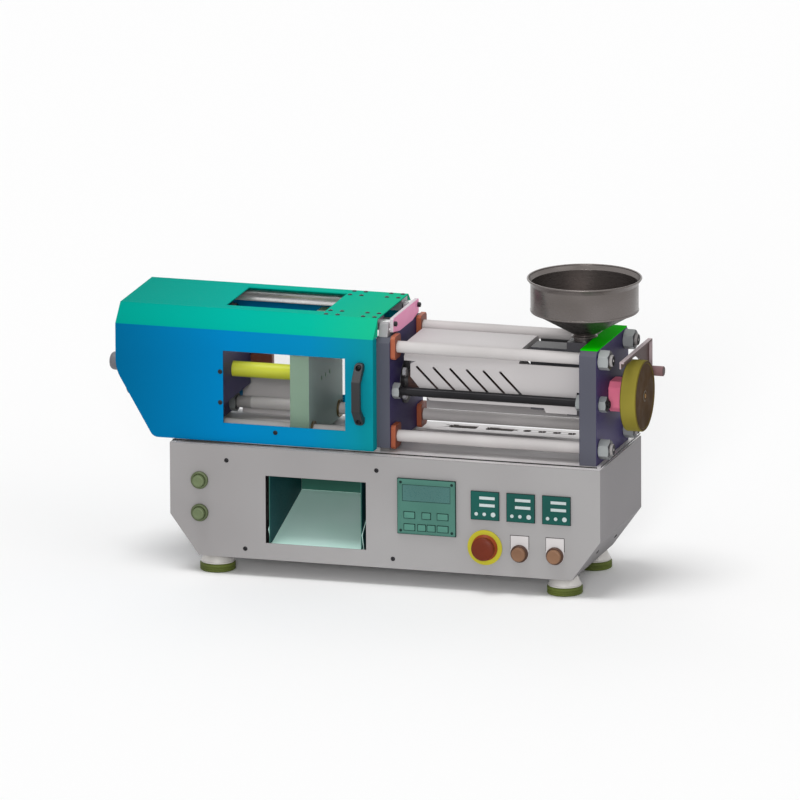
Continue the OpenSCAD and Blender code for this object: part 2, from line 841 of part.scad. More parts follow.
module platen_bushes() color("dimgray")
    at_bars()
        for (side = [0, 1])
            translate([side * moving_t + moving_x, 0, 0])
                mirror([side, 0, 0])
                    difference() {
                        union() {
                            x_bar(bush_flange_d, -bush_flange_t, 0, 0, 0);
                            x_bar(bush_d, 0, moving_t / 2 - 1, 0, 0);
                        }
                        x_bar(bar_d + 2 * run_gap, -bush_flange_t - cut,
                            moving_t / 2 + cut, 0, 0);
                    }

bar_over = 5;
front_nut_h = 12;

module tie_bars() color("gainsboro")
    at_bars()
        x_bar(bar_d, tail_x - bar_nut_h - bar_over,
            end_right + bar_nut_h + bar_over, 0, 0);

// Hexagon nut bored for a bar of diameter d
module bored_nut(af, d, x1, x2, y, z)
    difference() {
        x_hex(af, x1, x2, y, z);
        x_bar(d, x1 - cut, x2 + cut, y, z);
    }

pull_nut_h = 13;
inner_nut_h = 10;

module hex_nuts() color("silver") {
    at_bars() {
        bored_nut(bar_nut_af, bar_d, tail_x - bar_nut_h, tail_x, 0, 0);
        bored_nut(bar_nut_af, bar_d, head_x, head_x + front_nut_h, 0, 0);
        bored_nut(bar_nut_af, bar_d, end_right, end_right + bar_nut_h, 0, 0);
    }
    for (y = [-pull_at, pull_at]) {
        bored_nut(pull_nut_af, pull_d, fixed_right, fixed_right + pull_nut_h,
            y, axis_z);
        bored_nut(pull_nut_af, pull_d, end_x - inner_nut_h, end_x, y, axis_z);
        bored_nut(pull_nut_af, pull_d, end_right, end_right + pull_nut_h,
            y, axis_z);
    }
}

recess_x = fixed_x + 7.5;
sprue_d = 30;
pull_depth = 20;
flange_out = 2;
flange_bolt_af = 13;
flange_bolt_head = 6;
// Bolts as far out on the flange as their heads allow, at 40 degrees
flange_bolt_r = recess_d / 2 - flange_bolt_af / sqrt(3) - 0.3;
flange_bolts = [for (c = CORNERS)
    [c[0] * flange_bolt_r * cos(40), axis_z + c[1] * flange_bolt_r * sin(40)]];

module fixed_platen() color("slateblue")
    difference() {
        plate_blank(fixed_x, fixed_right, platen_z, platen_top, platen_w,
            platen_chamfer);
        bar_holes(fixed_x, fixed_right, bar_d + 2 * fit_gap);
        x_bar(recess_d, recess_x, fixed_right + cut);
        x_bar(sprue_d, fixed_x - cut, fixed_right + cut);
        for (y = [-pull_at, pull_at])
            x_bar(pull_d, fixed_right - pull_depth, fixed_right + cut, y);
    }

keeper_t = 8.5;
keeper_w = 35;
keeper_h = 40;
keeper_c = 4;

module bar_keepers() color("sienna")
    at_bars()
        difference() {
            along_x(fixed_right, fixed_right + keeper_t)
                chamfered(keeper_w, keeper_h, keeper_c);
            x_bar(bar_d, fixed_right - cut, fixed_right + keeper_t + cut,
                0, 0);
        }

flange_face = fixed_right + flange_out;

module nozzle_flange() color("dimgray")
    difference() {
        turned_x(recess_x)
            polygon([[barrel_d / 2 + fit_gap, 0], [recess_d / 2, 0],
                [recess_d / 2, flange_face - recess_x - 1],
                [recess_d / 2 - 1, flange_face - recess_x],
                [barrel_d / 2 + fit_gap, flange_face - recess_x]]);
        for (p = flange_bolts)
            x_bar(8, recess_x - cut, flange_face + cut, p[0], p[1]);
    }

// ---- injection unit ----

module end_plate() color("slateblue")
    difference() {
        plate_blank(end_x, end_right, deck_z, platen_top, platen_w,
            platen_chamfer);
        bar_holes(end_x, end_right, bar_d + 2 * fit_gap);
        x_bar(shank_d + 8, end_x - cut, end_right + cut);
        for (y = [-pull_at, pull_at])
            x_bar(pull_d + 2 * fit_gap, end_x - cut, end_right + cut, y);
    }

module end_plate_cap() color("limegreen")
    block([end_x, -platen_w / 2 + platen_chamfer, platen_top],
        [end_right, platen_w / 2 - platen_chamfer, platen_top + cap_t]);

module pull_rods() color("black")
    for (y = [-pull_at, pull_at])
        x_bar(pull_d, fixed_right - pull_depth, end_right + pull_nut_h + 4,
            y);

barrel_x = recess_x + 6;
seat_l = 14;
seat_d = 20;
screw_x = barrel_x + seat_l + 8;
block_l = 42;
block_w = 50;
block_top = axis_z + 90;
block_x = end_x - block_l;
hopper_x = end_x - 18;
throat_d = 24;
saddle_l = 64;
saddle_w = 44;
saddle_top = axis_z + 77;
barrel_end = end_x - 4;

module barrel() color("dimgray")
    difference() {
        x_bar(barrel_d, barrel_x, barrel_end);
        x_bar(seat_d, barrel_x - cut, barrel_x + seat_l);
        x_bar(4, barrel_x, screw_x + cut);
        x_bar(screw_d + 2 * run_gap, screw_x - 2, barrel_end + cut);
        z_bar(throat_d - 6, axis_z, axis_z + barrel_d, hopper_x, 0);
    }

module nozzle() color("darkgoldenrod")
    difference() {
        turned_x(fixed_x)
            polygon([[0, 0], [6, 0], [9, 4], [13, 5],
                [13, barrel_x - fixed_x], [seat_d / 2, barrel_x - fixed_x],
                [seat_d / 2, barrel_x - fixed_x + seat_l - 1],
                [0, barrel_x - fixed_x + seat_l - 1]]);
        x_bar(4, fixed_x - cut, barrel_x + seat_l + cut);
    }

// Heater bands: a short one behind the nozzle and longer ones along the barrel
band_first = [flange_face + flange_bolt_head + 1, 27];
band_l = 44;
band_pitch = 52;
band_count = floor((block_x - saddle_l - band_first[0] - band_first[1] - 12)
    / band_pitch);

module heater_band(x, l)
    difference() {
        union() {
            x_bar(band_d, x, x + l);
            block([x + l / 2 - 7, -6, axis_z + barrel_d / 2 + 1],
                [x + l / 2 + 7, 6, axis_z + band_d / 2 + 9]);
        }
        x_bar(barrel_d, x - cut, x + l + cut);
    }

module heater_bands() color("indianred") {
    heater_band(band_first[0], band_first[1]);
    for (i = [0:band_count - 1])
        heater_band(band_first[0] + band_first[1] + 12 + i * band_pitch,
            band_l);
}

flight_end = block_x + 4;
flight_steps = 12;

// The screw: a helical flight on a root, then a plain shank through the end
// plate and the bearing housing to the drive disc.
module injection_screw() color("silver") {
    turns = (flight_end - screw_x - 12) / screw_lead;
    translate([screw_x + 12, 0, axis_z]) rotate([0, 90, 0])
        linear_extrude(turns * screw_lead, twist = -360 * turns,
            slices = ceil(turns * flight_steps), $fn = flight_steps)
            union() {
                circle(d = screw_d * 0.66, $fn = 12);
                polygon([[0, -1.5], [screw_d / 2, -1], [screw_d / 2, 1],
                    [0, 1.5]]);
            }
    turned_x(screw_x)
        polygon([[0, 0], [screw_d / 2 - 2, 9], [screw_d / 2 - 2, 12],
            [0, 12]]);
    x_bar(screw_d, flight_end, barrel_end);
    x_bar(shank_d, barrel_end, disc_right);
}

neck_in = 12;
hopper_foot_h = 10;

module feed_block() color("dimgray")
    difference() {
        union() {
            block([block_x, -block_w / 2, axis_z - 36],
                [end_x, block_w / 2, block_top]);
            block([block_x - saddle_l, -saddle_w / 2, axis_z - 30],
                [block_x, saddle_w / 2, saddle_top]);
        }
        x_bar(barrel_d, block_x - saddle_l - cut, end_x + cut);
        z_bar(throat_d, axis_z, block_top + cut, hopper_x, 0);
        z_bar(neck_d, block_top - neck_in, block_top + cut, hopper_x, 0);
    }

// The hopper in one revolved sheet: neck, cone, wall and rolled rim, with a
// conical foot that rests on the feed block.
module hopper() color("rosybrown")
    translate([hopper_x, 0, block_top]) rotate_extrude() {
        r = hopper_d / 2;
        n = neck_d / 2;
        t = hopper_t;
        cone_z = hopper_foot_h + hopper_cone_h;
        wall_z = cone_z + hopper_wall_h;
        foot_z = platen_top + cap_t - block_top;
        polygon([[n, -neck_in], [n, hopper_foot_h], [r, cone_z],
            [r, wall_z - rim_out], [r + rim_out, wall_z],
            [r + rim_out, wall_z + 3], [r + rim_out - t, wall_z + 3],
            [r + rim_out - t, wall_z + t / 2], [r - t, wall_z - rim_out + t],
            [r - t, cone_z + t / 2], [n - t, hopper_foot_h + t],
            [n - t, -neck_in]]);
        polygon([[n, foot_z], [n + 4, foot_z], [n + 4, foot_z + 1.5],
            [n, foot_z + 4]]);
        translate([r + rim_out - t / 2, wall_z + 3]) circle(r = 1.6);
    }

// ---- barrel cover ----

cover_x = fixed_right + 16;
cover_front_x = fixed_right + 27;
cover_top_end = block_x - saddle_l - 7;
cover_top = axis_z + cover_up;
cover_step_x = fixed_right + 259;
cover_rear_down = 63;

// Open section of the cover: front, bevel, top, bevel and a longer rear
module cover_section() {
    s = cover_w / 2;
    b = cover_bevel;
    t = cover_t;
    k = t * (sqrt(2) - 1);
    polygon([[-s, axis_z - cover_down - 8], [-s, cover_top - b],
        [-s + b, cover_top], [s - b, cover_top], [s, cover_top - b],
        [s, axis_z - cover_rear_down], [s - t, axis_z - cover_rear_down],
        [s - t, cover_top - b - k], [s - b - k, cover_top - t],
        [-s + b + k, cover_top - t], [-s + t, cover_top - b - k],
        [-s + t, axis_z - cover_down - 8]]);
}

slot_rise = 36;

// One slanting slot through both sides of the cover
module cover_slot(x) {
    top_z = axis_z + 41;
    length = slot_rise * sqrt(2);
    translate([x, 0, top_z]) rotate([0, 45, 0])
        block([0, -cover_w, -slot_w / 2], [length, cover_w, slot_w / 2]);
    for (d = [0, slot_rise])
        y_bar(slot_w, -cover_w, cover_w, x + d, top_z - d);
}

module barrel_cover() color("lightgray") {
    s = cover_w / 2;
    difference() {
        along_x(cover_x, end_x) cover_section();
        // top open over the feed block
        block([cover_top_end, -cover_w, cover_top - cover_bevel],
            [end_x + cut, cover_w, cover_top + cut]);
        // room for the pull rods' inner nuts
        block([end_x - inner_nut_h - 3, -cover_w, axis_z - cover_w],
            [end_x + cut, cover_w, axis_z + pull_nut_af / 2 + 3]);
        // front edge set back, with its corners cut
        along_y(-cover_w, -cover_w / 2 + cover_t + cut)
            polygon([[cover_x - cut, cover_top - cover_bevel - 7],
                [cover_front_x + 9, cover_top - cover_bevel - 7],
                [cover_front_x, cover_top - cover_bevel - 12],
                [cover_front_x, axis_z + 24],
                [cover_front_x + 33, axis_z - cover_down],
                [cover_step_x, axis_z - cover_down],
                [cover_step_x + 4, axis_z - cover_down - 8 - cut],
                [cover_x - cut, axis_z - cover_down - 8 - cut]]);
        for (i = [0:slot_count - 1])
            cover_slot(fixed_right + 38.5 + i * slot_pitch);
    }
    // end wall under the bevels, and tabs that fix the cover to the end plate
    along_x(cover_top_end - cover_t, cover_top_end)
        polygon([[-s, cover_top - cover_bevel],
            [-s + cover_bevel, cover_top], [s - cover_bevel, cover_top],
            [s, cover_top - cover_bevel]]);
    for (side = [0, 1])
        mirror([0, side, 0])
            block([end_x - cover_t, -s, axis_z + pull_nut_af / 2 + 6],
                [end_x, -s + 14, cover_top - cover_bevel]);
}

// ---- screw drive ----

bearing_l = 10;
bearing_d = 38;

module bearing_housing() color("palevioletred")
    difference() {
        s = housing_side / 2;
        c = 9;
        along_x(end_right, housing_right)
            polygon([[-s, axis_z - s + c], [-s + c, axis_z - s],
                [s - c, axis_z - s], [s, axis_z - s + c],
                [s, axis_z + s - c], [s - c, axis_z + s],
                [-s + c, axis_z + s], [-s, axis_z + s - c]]);
        x_bar(bearing_d, end_right - cut, housing_right - 3);
        x_bar(shank_d + 6, end_right - cut, housing_right + cut);
    }

module drive_bearings() color("silver")
    for (i = [0, 1])
        difference() {
            x_bar(bearing_d, end_right + i * (bearing_l + 0.5),
                end_right + i * (bearing_l + 0.5) + bearing_l);
            x_bar(shank_d + 2 * run_gap, end_right - cut,
                housing_right + cut);
        }

module drive_disc() color("darkkhaki")
    difference() {
        turned_x(disc_x)
            polygon([[0, 0], [disc_d / 2 - 1.5, 0], [disc_d / 2, 1.5],
                [disc_d / 2, disc_t - 1.5], [disc_d / 2 - 1.5, disc_t],
                [0, disc_t]]);
        x_bar(shank_d, disc_x - cut, disc_right + cut);
    }

bracket_top = axis_z + 75;
bracket_y = [-77, 98];
bracket_arch = disc_d / 2 + 5;
pin_at = [83, axis_z + 23];

// Folded bracket: a face plate arched over the disc, a narrow top flange and
// a side wall that stands on the end plate.
module drive_bracket() color("thistle") {
    difference() {
        block([bracket_right - bracket_t, bracket_y[0], axis_z - 25],
            [bracket_right, bracket_y[1], bracket_top]);
        x_bar(2 * bracket_arch, bracket_right - bracket_t - cut,
            bracket_right + cut);
        block([bracket_right - bracket_t - cut, bracket_y[0] - cut,
                axis_z - 25 - cut],
            [bracket_right + cut, 0, axis_z + 40]);
    }
    block([end_right + bar_nut_h + bar_over + 2, bracket_y[0],
            bracket_top - bracket_t],
        [bracket_right, bracket_y[1], bracket_top]);
    block([end_right, bracket_y[1] - bracket_t, axis_z - 25],
        [bracket_right, bracket_y[1], axis_z + 56]);
    x_bar(pin_d, bracket_right, bracket_right + pin_l, pin_at[0], pin_at[1]);
}

// ---- sliding guard ----

guard_w = cabinet_w - 2 * guard_in;
guard_right = fixed_x + 2;
guard_x = guard_right - guard_l;
guard_z = deck_z + guard_lift;
rail_z = platen_top + 9;
rail_top = rail_z + rail_side;
guard_roof = rail_top + 6;
guard_top = guard_roof + guard_t;
window_x = guard_right - 49 - window_l;
window_z = guard_z + 32;
roof_window_x = guard_right - 99.5 - roof_window_l;
corner_z = guard_z + 109;
corner_x = guard_x + 65;
foot_r = 15;
corner_tilt = atan2(corner_z - 10 - guard_z,
    corner_x - guard_x - 60 + 60 * cos(30));
foot_tangent = foot_r * tan(corner_tilt / 2);
rail_at = rail_pitch / 2;

// Section of the guard's sheet: two sides, two bevels and a roof
module guard_section() {
    s = guard_w / 2;
    b = guard_bevel;
    t = guard_t;
    k = t * (sqrt(2) - 1);
    polygon([[-s, guard_z], [-s, guard_top - b], [-s + b, guard_top],
        [s - b, guard_top], [s, guard_top - b], [s, guard_z],
        [s - t, guard_z], [s - t, guard_top - b - k],
        [s - b - k, guard_top - t], [-s + b + k, guard_top - t],
        [-s + t, guard_top - b - k], [-s + t, guard_z]]);
}

roof_screw_d = 5;
block_centres = [guard_right - 17.7 - block_pitch, guard_right - 17.7];

function roof_screws() =
    [for (x = block_centres, y = [-rail_at, rail_at], dx = [-10, 10],
          dy = [-13, 13]) [x + dx, y + dy]];

pane_screw_d = 4;
function pane_screws() =
    [[window_x - 5, window_z + 35], [window_x - 5, window_z + 88],
        [window_x + 91, window_z - 11]];

handle_x = guard_right - 22;
handle_z = [guard_z + 45, guard_z + 152];
handle_w = 15;
handle_out = 30;
handle_screws = [for (z = [handle_z[0] + 7, handle_z[1] - 7]) [handle_x, z]];
handle_screw_d = 5;

module guard_hood() color("darkturquoise")
    difference() {
        along_x(guard_x, guard_right) guard_section();
        block([window_x, -guard_w, window_z],
            [window_x + window_l, guard_w, window_z + window_h]);
        block([roof_window_x, -roof_window_w / 2, guard_roof - cut],
            [roof_window_x + roof_window_l, roof_window_w / 2,
                guard_top + cut]);
        // lower corners cut on a slant that turns into the bottom edge and
        // into the end with curves
        along_y(-guard_w, guard_w)
            polygon(concat([[guard_x - cut, guard_z - cut],
                    [corner_x + foot_tangent, guard_z - cut]],
                [for (a = [270:-6:270 - corner_tilt])
                    [corner_x + foot_tangent + foot_r * cos(a),
                        guard_z + foot_r + foot_r * sin(a)]],
                [for (a = [30:-6:0])
                    [guard_x + 60 - 60 * cos(a),
                        corner_z + 20 - 60 * sin(a)]],
                [[guard_x - cut, corner_z + 20]]));
        for (p = roof_screws())
            z_bar(roof_screw_d + 2 * fit_gap, guard_roof - cut,
                guard_top + cut, p[0], p[1]);
        for (p = pane_screws())
            y_bar(pane_screw_d + 2 * fit_gap, -guard_w / 2 - cut,
                -guard_w / 2 + guard_t + cut, p[0], p[1]);
        for (p = handle_screws)
            y_bar(handle_screw_d + 2 * fit_gap, -guard_w / 2 - cut,
                -guard_w / 2 + guard_t + cut, p[0], p[1]);
    }

pane_lap = 12;

module guard_panes() color("lightcyan", 0.4)
    for (side = [0, 1])
        mirror([0, side, 0])
            difference() {
                block([window_x - pane_lap, -guard_w / 2 + guard_t,
                        window_z - pane_lap - 6],
                    [window_x + window_l + pane_lap,
                        -guard_w / 2 + guard_t + pane_t,
                        window_z + window_h + pane_lap]);
                for (p = pane_screws())
                    y_bar(pane_screw_d + 2 * fit_gap, -guard_w / 2,
                        -guard_w / 2 + guard_t + pane_t + cut, p[0], p[1]);
            }

module guard_handle() color("black") {
    y = -guard_w / 2;
    lo = handle_z[0];
    hi = handle_z[1];
    d = handle_out;
    difference() {
        intersection() {
            along_x(handle_x - handle_w / 2, handle_x + handle_w / 2)
                polygon([[y, lo], [y - 7, lo], [y - d, lo + 28],
                    [y - d, hi - 28], [y - 7, hi], [y, hi], [y, hi - 14],
                    [y - 4, hi - 14], [y - d + 8, hi - 32],
                    [y - d + 8, lo + 32], [y - 4, lo + 14], [y, lo + 14]]);
            soft_plate(handle_x - handle_w / 2, handle_x + handle_w / 2,
                lo, hi, y - d - cut, y + cut, 5);
        }
        for (p = handle_screws) {
            y_bar(handle_screw_d, y - 10, y + cut, p[0], p[1]);
            y_bar(handle_screw_d + 4, y - d, y - 6, p[0], p[1]);
        }
    }
}

module guard_screws() color("black") {
    for (p = roof_screws()) {
        z_bar(roof_screw_d + 3, guard_top, guard_top + 1.5, p[0], p[1]);
        z_bar(roof_screw_d, guard_roof - 8, guard_top, p[0], p[1]);
    }
    for (p = pane_screws()) {
        y_bar(pane_screw_d + 3, -guard_w / 2 - 1.5, -guard_w / 2, p[0], p[1]);
        y_bar(pane_screw_d, -guard_w / 2, -guard_w / 2 + guard_t + pane_t,
            p[0], p[1]);
    }
    for (p = handle_screws) {
        y_bar(handle_screw_d + 3.5, -guard_w / 2 - 9.5, -guard_w / 2 - 6,
            p[0], p[1]);
        y_bar(handle_screw_d, -guard_w / 2 - 6, -guard_w / 2 + guard_t,
            p[0], p[1]);
        y_bar(handle_screw_d + 3, -guard_w / 2 + guard_t,
            -guard_w / 2 + guard_t + 3, p[0], p[1]);
    }
}

groove = 2.5;
rail_bolt_d = 5;
rail_bolt_z = rail_top - 4.5;
cross_t = 6;
rail_end = fixed_right - cross_t;

// Half width of the rail at its waist; the slide blocks' lips follow it
module rail_section(g) {
    s = rail_side / 2 + g;
    w = s - groove;
    polygon([[-s, rail_z], [s, rail_z], [s, rail_z + 3.5],
        [w, rail_z + 6], [w, rail_z + 8], [s, rail_z + 10.5],
        [s, rail_top + g], [-s, rail_top + g], [-s, rail_z + 10.5],
        [-w, rail_z + 8], [-w, rail_z + 6], [-s, rail_z + 3.5]]);
}

module slide_rails() color("gainsboro")
    for (y = [-rail_at, rail_at])
        difference() {
            translate([0, y, 0])
                along_x(tail_x, rail_end) rail_section(0);
            x_bar(rail_bolt_d, rail_end - 12, rail_end + cut, y, rail_bolt_z);
        }

module slide_blocks() color("gray")
    for (x = block_centres, y = [-rail_at, rail_at])
        difference() {
            block([x - block_side / 2, y - block_side / 2, rail_z + 3],
                [x + block_side / 2, y + block_side / 2, guard_roof]);
            translate([0, y, 0])
                along_x(x - block_side, x + block_side)
                    rail_section(0.1);
            for (dx = [-10, 10], dy = [-13, 13])
                z_bar(roof_screw_d, guard_roof - 8, guard_roof + cut, x + dx,
                    y + dy);
        }

support_l = 16;

module rail_supports() color("lightgray")
    for (x = [tail_x, rail_end - support_l], y = [-rail_at, rail_at])
        difference() {
            translate([0, y, 0])
                along_x(x, x + support_l)
                    polygon([[-20, platen_top], [20, platen_top],
                        [13, rail_top - 1], [-13, rail_top - 1]]);
            translate([0, y, 0])
                along_x(x - cut, x + support_l + cut) {
                    rail_section(0);
                    translate([-rail_side / 2, rail_z])
                        square([rail_side, rail_side + cut]);
                }
        }

cross_w = 150;
cross_top = guard_top - 2.5;

// Plate on the fixed plate that closes the rails' ends, with its lower
// corners cut on a slant
module rail_end_plate() color("plum")
    difference() {
        w = cross_w / 2;
        along_x(rail_end, fixed_right)
            polygon([[-w / 2, platen_top], [w / 2, platen_top],
                [w, platen_top + 6], [w, cross_top - 2],
                [w - 2, cross_top], [-w + 2, cross_top],
                [-w, cross_top - 2], [-w, platen_top + 6]]);
        for (y = [-rail_at, rail_at])
            x_bar(rail_bolt_d, rail_end - cut, fixed_right + cut, y,
                rail_bolt_z);
    }

module frame_bolts() color("black") {
    for (y = [-rail_at, rail_at]) {
        x_bar(8.5, fixed_right, fixed_right + 5, y, rail_bolt_z);
        x_bar(rail_bolt_d, rail_end - 12, fixed_right, y, rail_bolt_z);
    }
    for (p = flange_bolts) {
        x_hex(flange_bolt_af, flange_face, flange_face + flange_bolt_head,
            p[0], p[1]);
        x_bar(8, recess_x, flange_face, p[0], p[1]);
    }
}

// ---- rear of the clamp unit ----

panel_x = [tail_x + 44, moving_x + 2];
panel_y = 107;
panel_top = axis_z - 27;
panel_fold_z = deck_z + 29;

module rear_panel() color("lightgray") {
    block([panel_x[0], panel_y, deck_z],
        [panel_x[1], panel_y + guard_t, panel_top]);
    block([panel_x[0], panel_y - guard_t, deck_z],
        [panel_x[1], panel_y, panel_fold_z]);
    block([panel_x[0], panel_y - 8, panel_top - guard_t],
        [panel_x[1], panel_y, panel_top]);
}

module interlock_switch() color("brown") {
    x = panel_x[0] + 16;
    soft_plate(x, x + 38, panel_top, panel_top + 30, panel_y - 8,
        panel_y + 6, 3);
}

cabinet_shell();
deck_plate();
back_panel();
cabinet_screws();
foot_cones();
foot_pads();
chute_tray();
cable_gland();
hmi_bezel();
hmi_display();
hmi_keys();
temperature_controllers();
controller_displays();
estop_ring();
estop_mushroom();
legend_plates();
switch_collars();
start_button();
stop_button();
jog_collars();
jog_button_upper();
jog_button_lower();
tail_platen();
cylinder_head();
cylinder_tube();
cylinder_rear_cap();
cylinder_tie_rods();
clamp_rod();
moving_platen();
platen_bushes();
tie_bars();
hex_nuts();
fixed_platen();
bar_keepers();
nozzle_flange();
end_plate();
end_plate_cap();
pull_rods();
barrel();
nozzle();
heater_bands();
injection_screw();
feed_block();
hopper();
barrel_cover();
bearing_housing();
drive_bearings();
drive_disc();
drive_bracket();
guard_hood();
guard_panes();
guard_handle();
guard_screws();
slide_rails();
slide_blocks();
rail_supports();
rail_end_plate();
frame_bolts();
rear_panel();
interlock_switch();
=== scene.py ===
"""Looks of a desktop injection moulding machine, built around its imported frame.

The frame holds every piece at its real size. This script gives each piece its finish, replaces
plain fasteners, knobs and sheets by finely modelled ones, and sets up the studio and the camera.
Sizes are in millimetres, and become metres where a piece is made or placed.
"""
import json
import logging
import math
from collections.abc import Iterable, Sequence
from dataclasses import dataclass
from enum import Enum

import bmesh
import bpy
from mathutils import Matrix, Vector


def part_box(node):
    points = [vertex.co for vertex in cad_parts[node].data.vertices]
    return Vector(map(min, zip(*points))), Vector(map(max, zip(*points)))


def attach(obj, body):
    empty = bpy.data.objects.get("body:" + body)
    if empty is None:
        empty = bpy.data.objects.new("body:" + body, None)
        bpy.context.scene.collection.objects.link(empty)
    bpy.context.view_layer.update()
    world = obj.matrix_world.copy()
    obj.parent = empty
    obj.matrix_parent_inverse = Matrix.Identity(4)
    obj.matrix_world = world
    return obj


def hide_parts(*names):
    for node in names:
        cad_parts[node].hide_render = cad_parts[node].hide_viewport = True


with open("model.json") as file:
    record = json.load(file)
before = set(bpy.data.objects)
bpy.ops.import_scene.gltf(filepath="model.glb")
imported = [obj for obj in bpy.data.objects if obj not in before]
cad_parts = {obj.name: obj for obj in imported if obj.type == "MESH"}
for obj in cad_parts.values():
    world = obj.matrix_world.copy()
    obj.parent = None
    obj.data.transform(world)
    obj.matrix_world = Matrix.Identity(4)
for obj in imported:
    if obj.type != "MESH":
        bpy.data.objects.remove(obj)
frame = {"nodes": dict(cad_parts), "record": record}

LOG = logging.getLogger("moulding_machine")
MM = 0.001
ROOT_3 = math.sqrt(3)
# Vertices nearer than this, in metres, are one.
MERGE = 2e-6
# Rise, in millimetres, of a step in a profile that only changes its radius.
STEP = 0.001
# Angle between two faces up to which they are one flat face.
FLAT = math.radians(0.4)
# Angles up to which a new form, and then the whole piece, is shaded smooth.
SMOOTH_FORM = math.radians(30)
SMOOTH_PIECE = math.radians(40)
# Angle from which an edge is softened.
SOFT_EDGE = math.radians(32)
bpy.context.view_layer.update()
Piece = bpy.types.Object
Tree = bpy.types.NodeTree
Socket = bpy.types.NodeSocket
Point = tuple[float, float, float]
Rings = list[tuple[float, float]]


# ---- colours and shader nodes ----

# Nearly all of a noise lies between these values, and clouds turn over between closer ones.
NOISE_LOW, NOISE_HIGH = 0.3, 0.7
CLOUD_LOW, CLOUD_HIGH = 0.35, 0.62
# A face counts as square to an axis from the second of these cosines, and not below the first.
ASLANT, SQUARE = 0.6, 0.8
COAT_ROUGHNESS = 0.12


def linear(colour: str) -> tuple[float, float, float, float]:
    """Turn an sRGB hex colour into linear light.

    Args:
        colour: six hex digits, with or without a leading #.

    Returns:
        The linear red, green and blue, and an alpha of 1.
    """
    digits = colour.lstrip("#")
    parts = [int(digits[i:i + 2], 16) / 255 for i in (0, 2, 4)]
    light = [c / 12.92 if c <= 0.04045 else ((c + 0.055) / 1.055) ** 2.4 for c in parts]
    return (light[0], light[1], light[2], 1.0)


def add_node(tree: Tree, kind: str, settings: dict | None = None,
             inputs: dict | None = None) -> bpy.types.Node:
    """Add a shader node, with its settings made and its inputs set or linked.

    Args:
        tree: the node tree.
        kind: the node's type name.
        settings: attributes of the node.
        inputs: values or output sockets by input name or number.

    Returns:
        The new node.
    """
    made = tree.nodes.new(kind)
    for key, value in (settings or {}).items():
        setattr(made, key, value)
    for key, value in (inputs or {}).items():
        if isinstance(value, Socket):
            tree.links.new(value, made.inputs[key])
        else:
            made.inputs[key].default_value = value
    return made


class Grain(Enum):
    """Direction in which a surface was worked, as how far it stretches along X, Y and Z."""

    EVEN = (1.0, 1.0, 1.0)
    ALONG_X = (0.02, 1.0, 1.0)
    ALONG_Y = (1.0, 0.02, 1.0)
    ROUND_X = (1.0, 0.04, 0.04)
    ROUND_Z = (0.04, 0.04, 1.0)


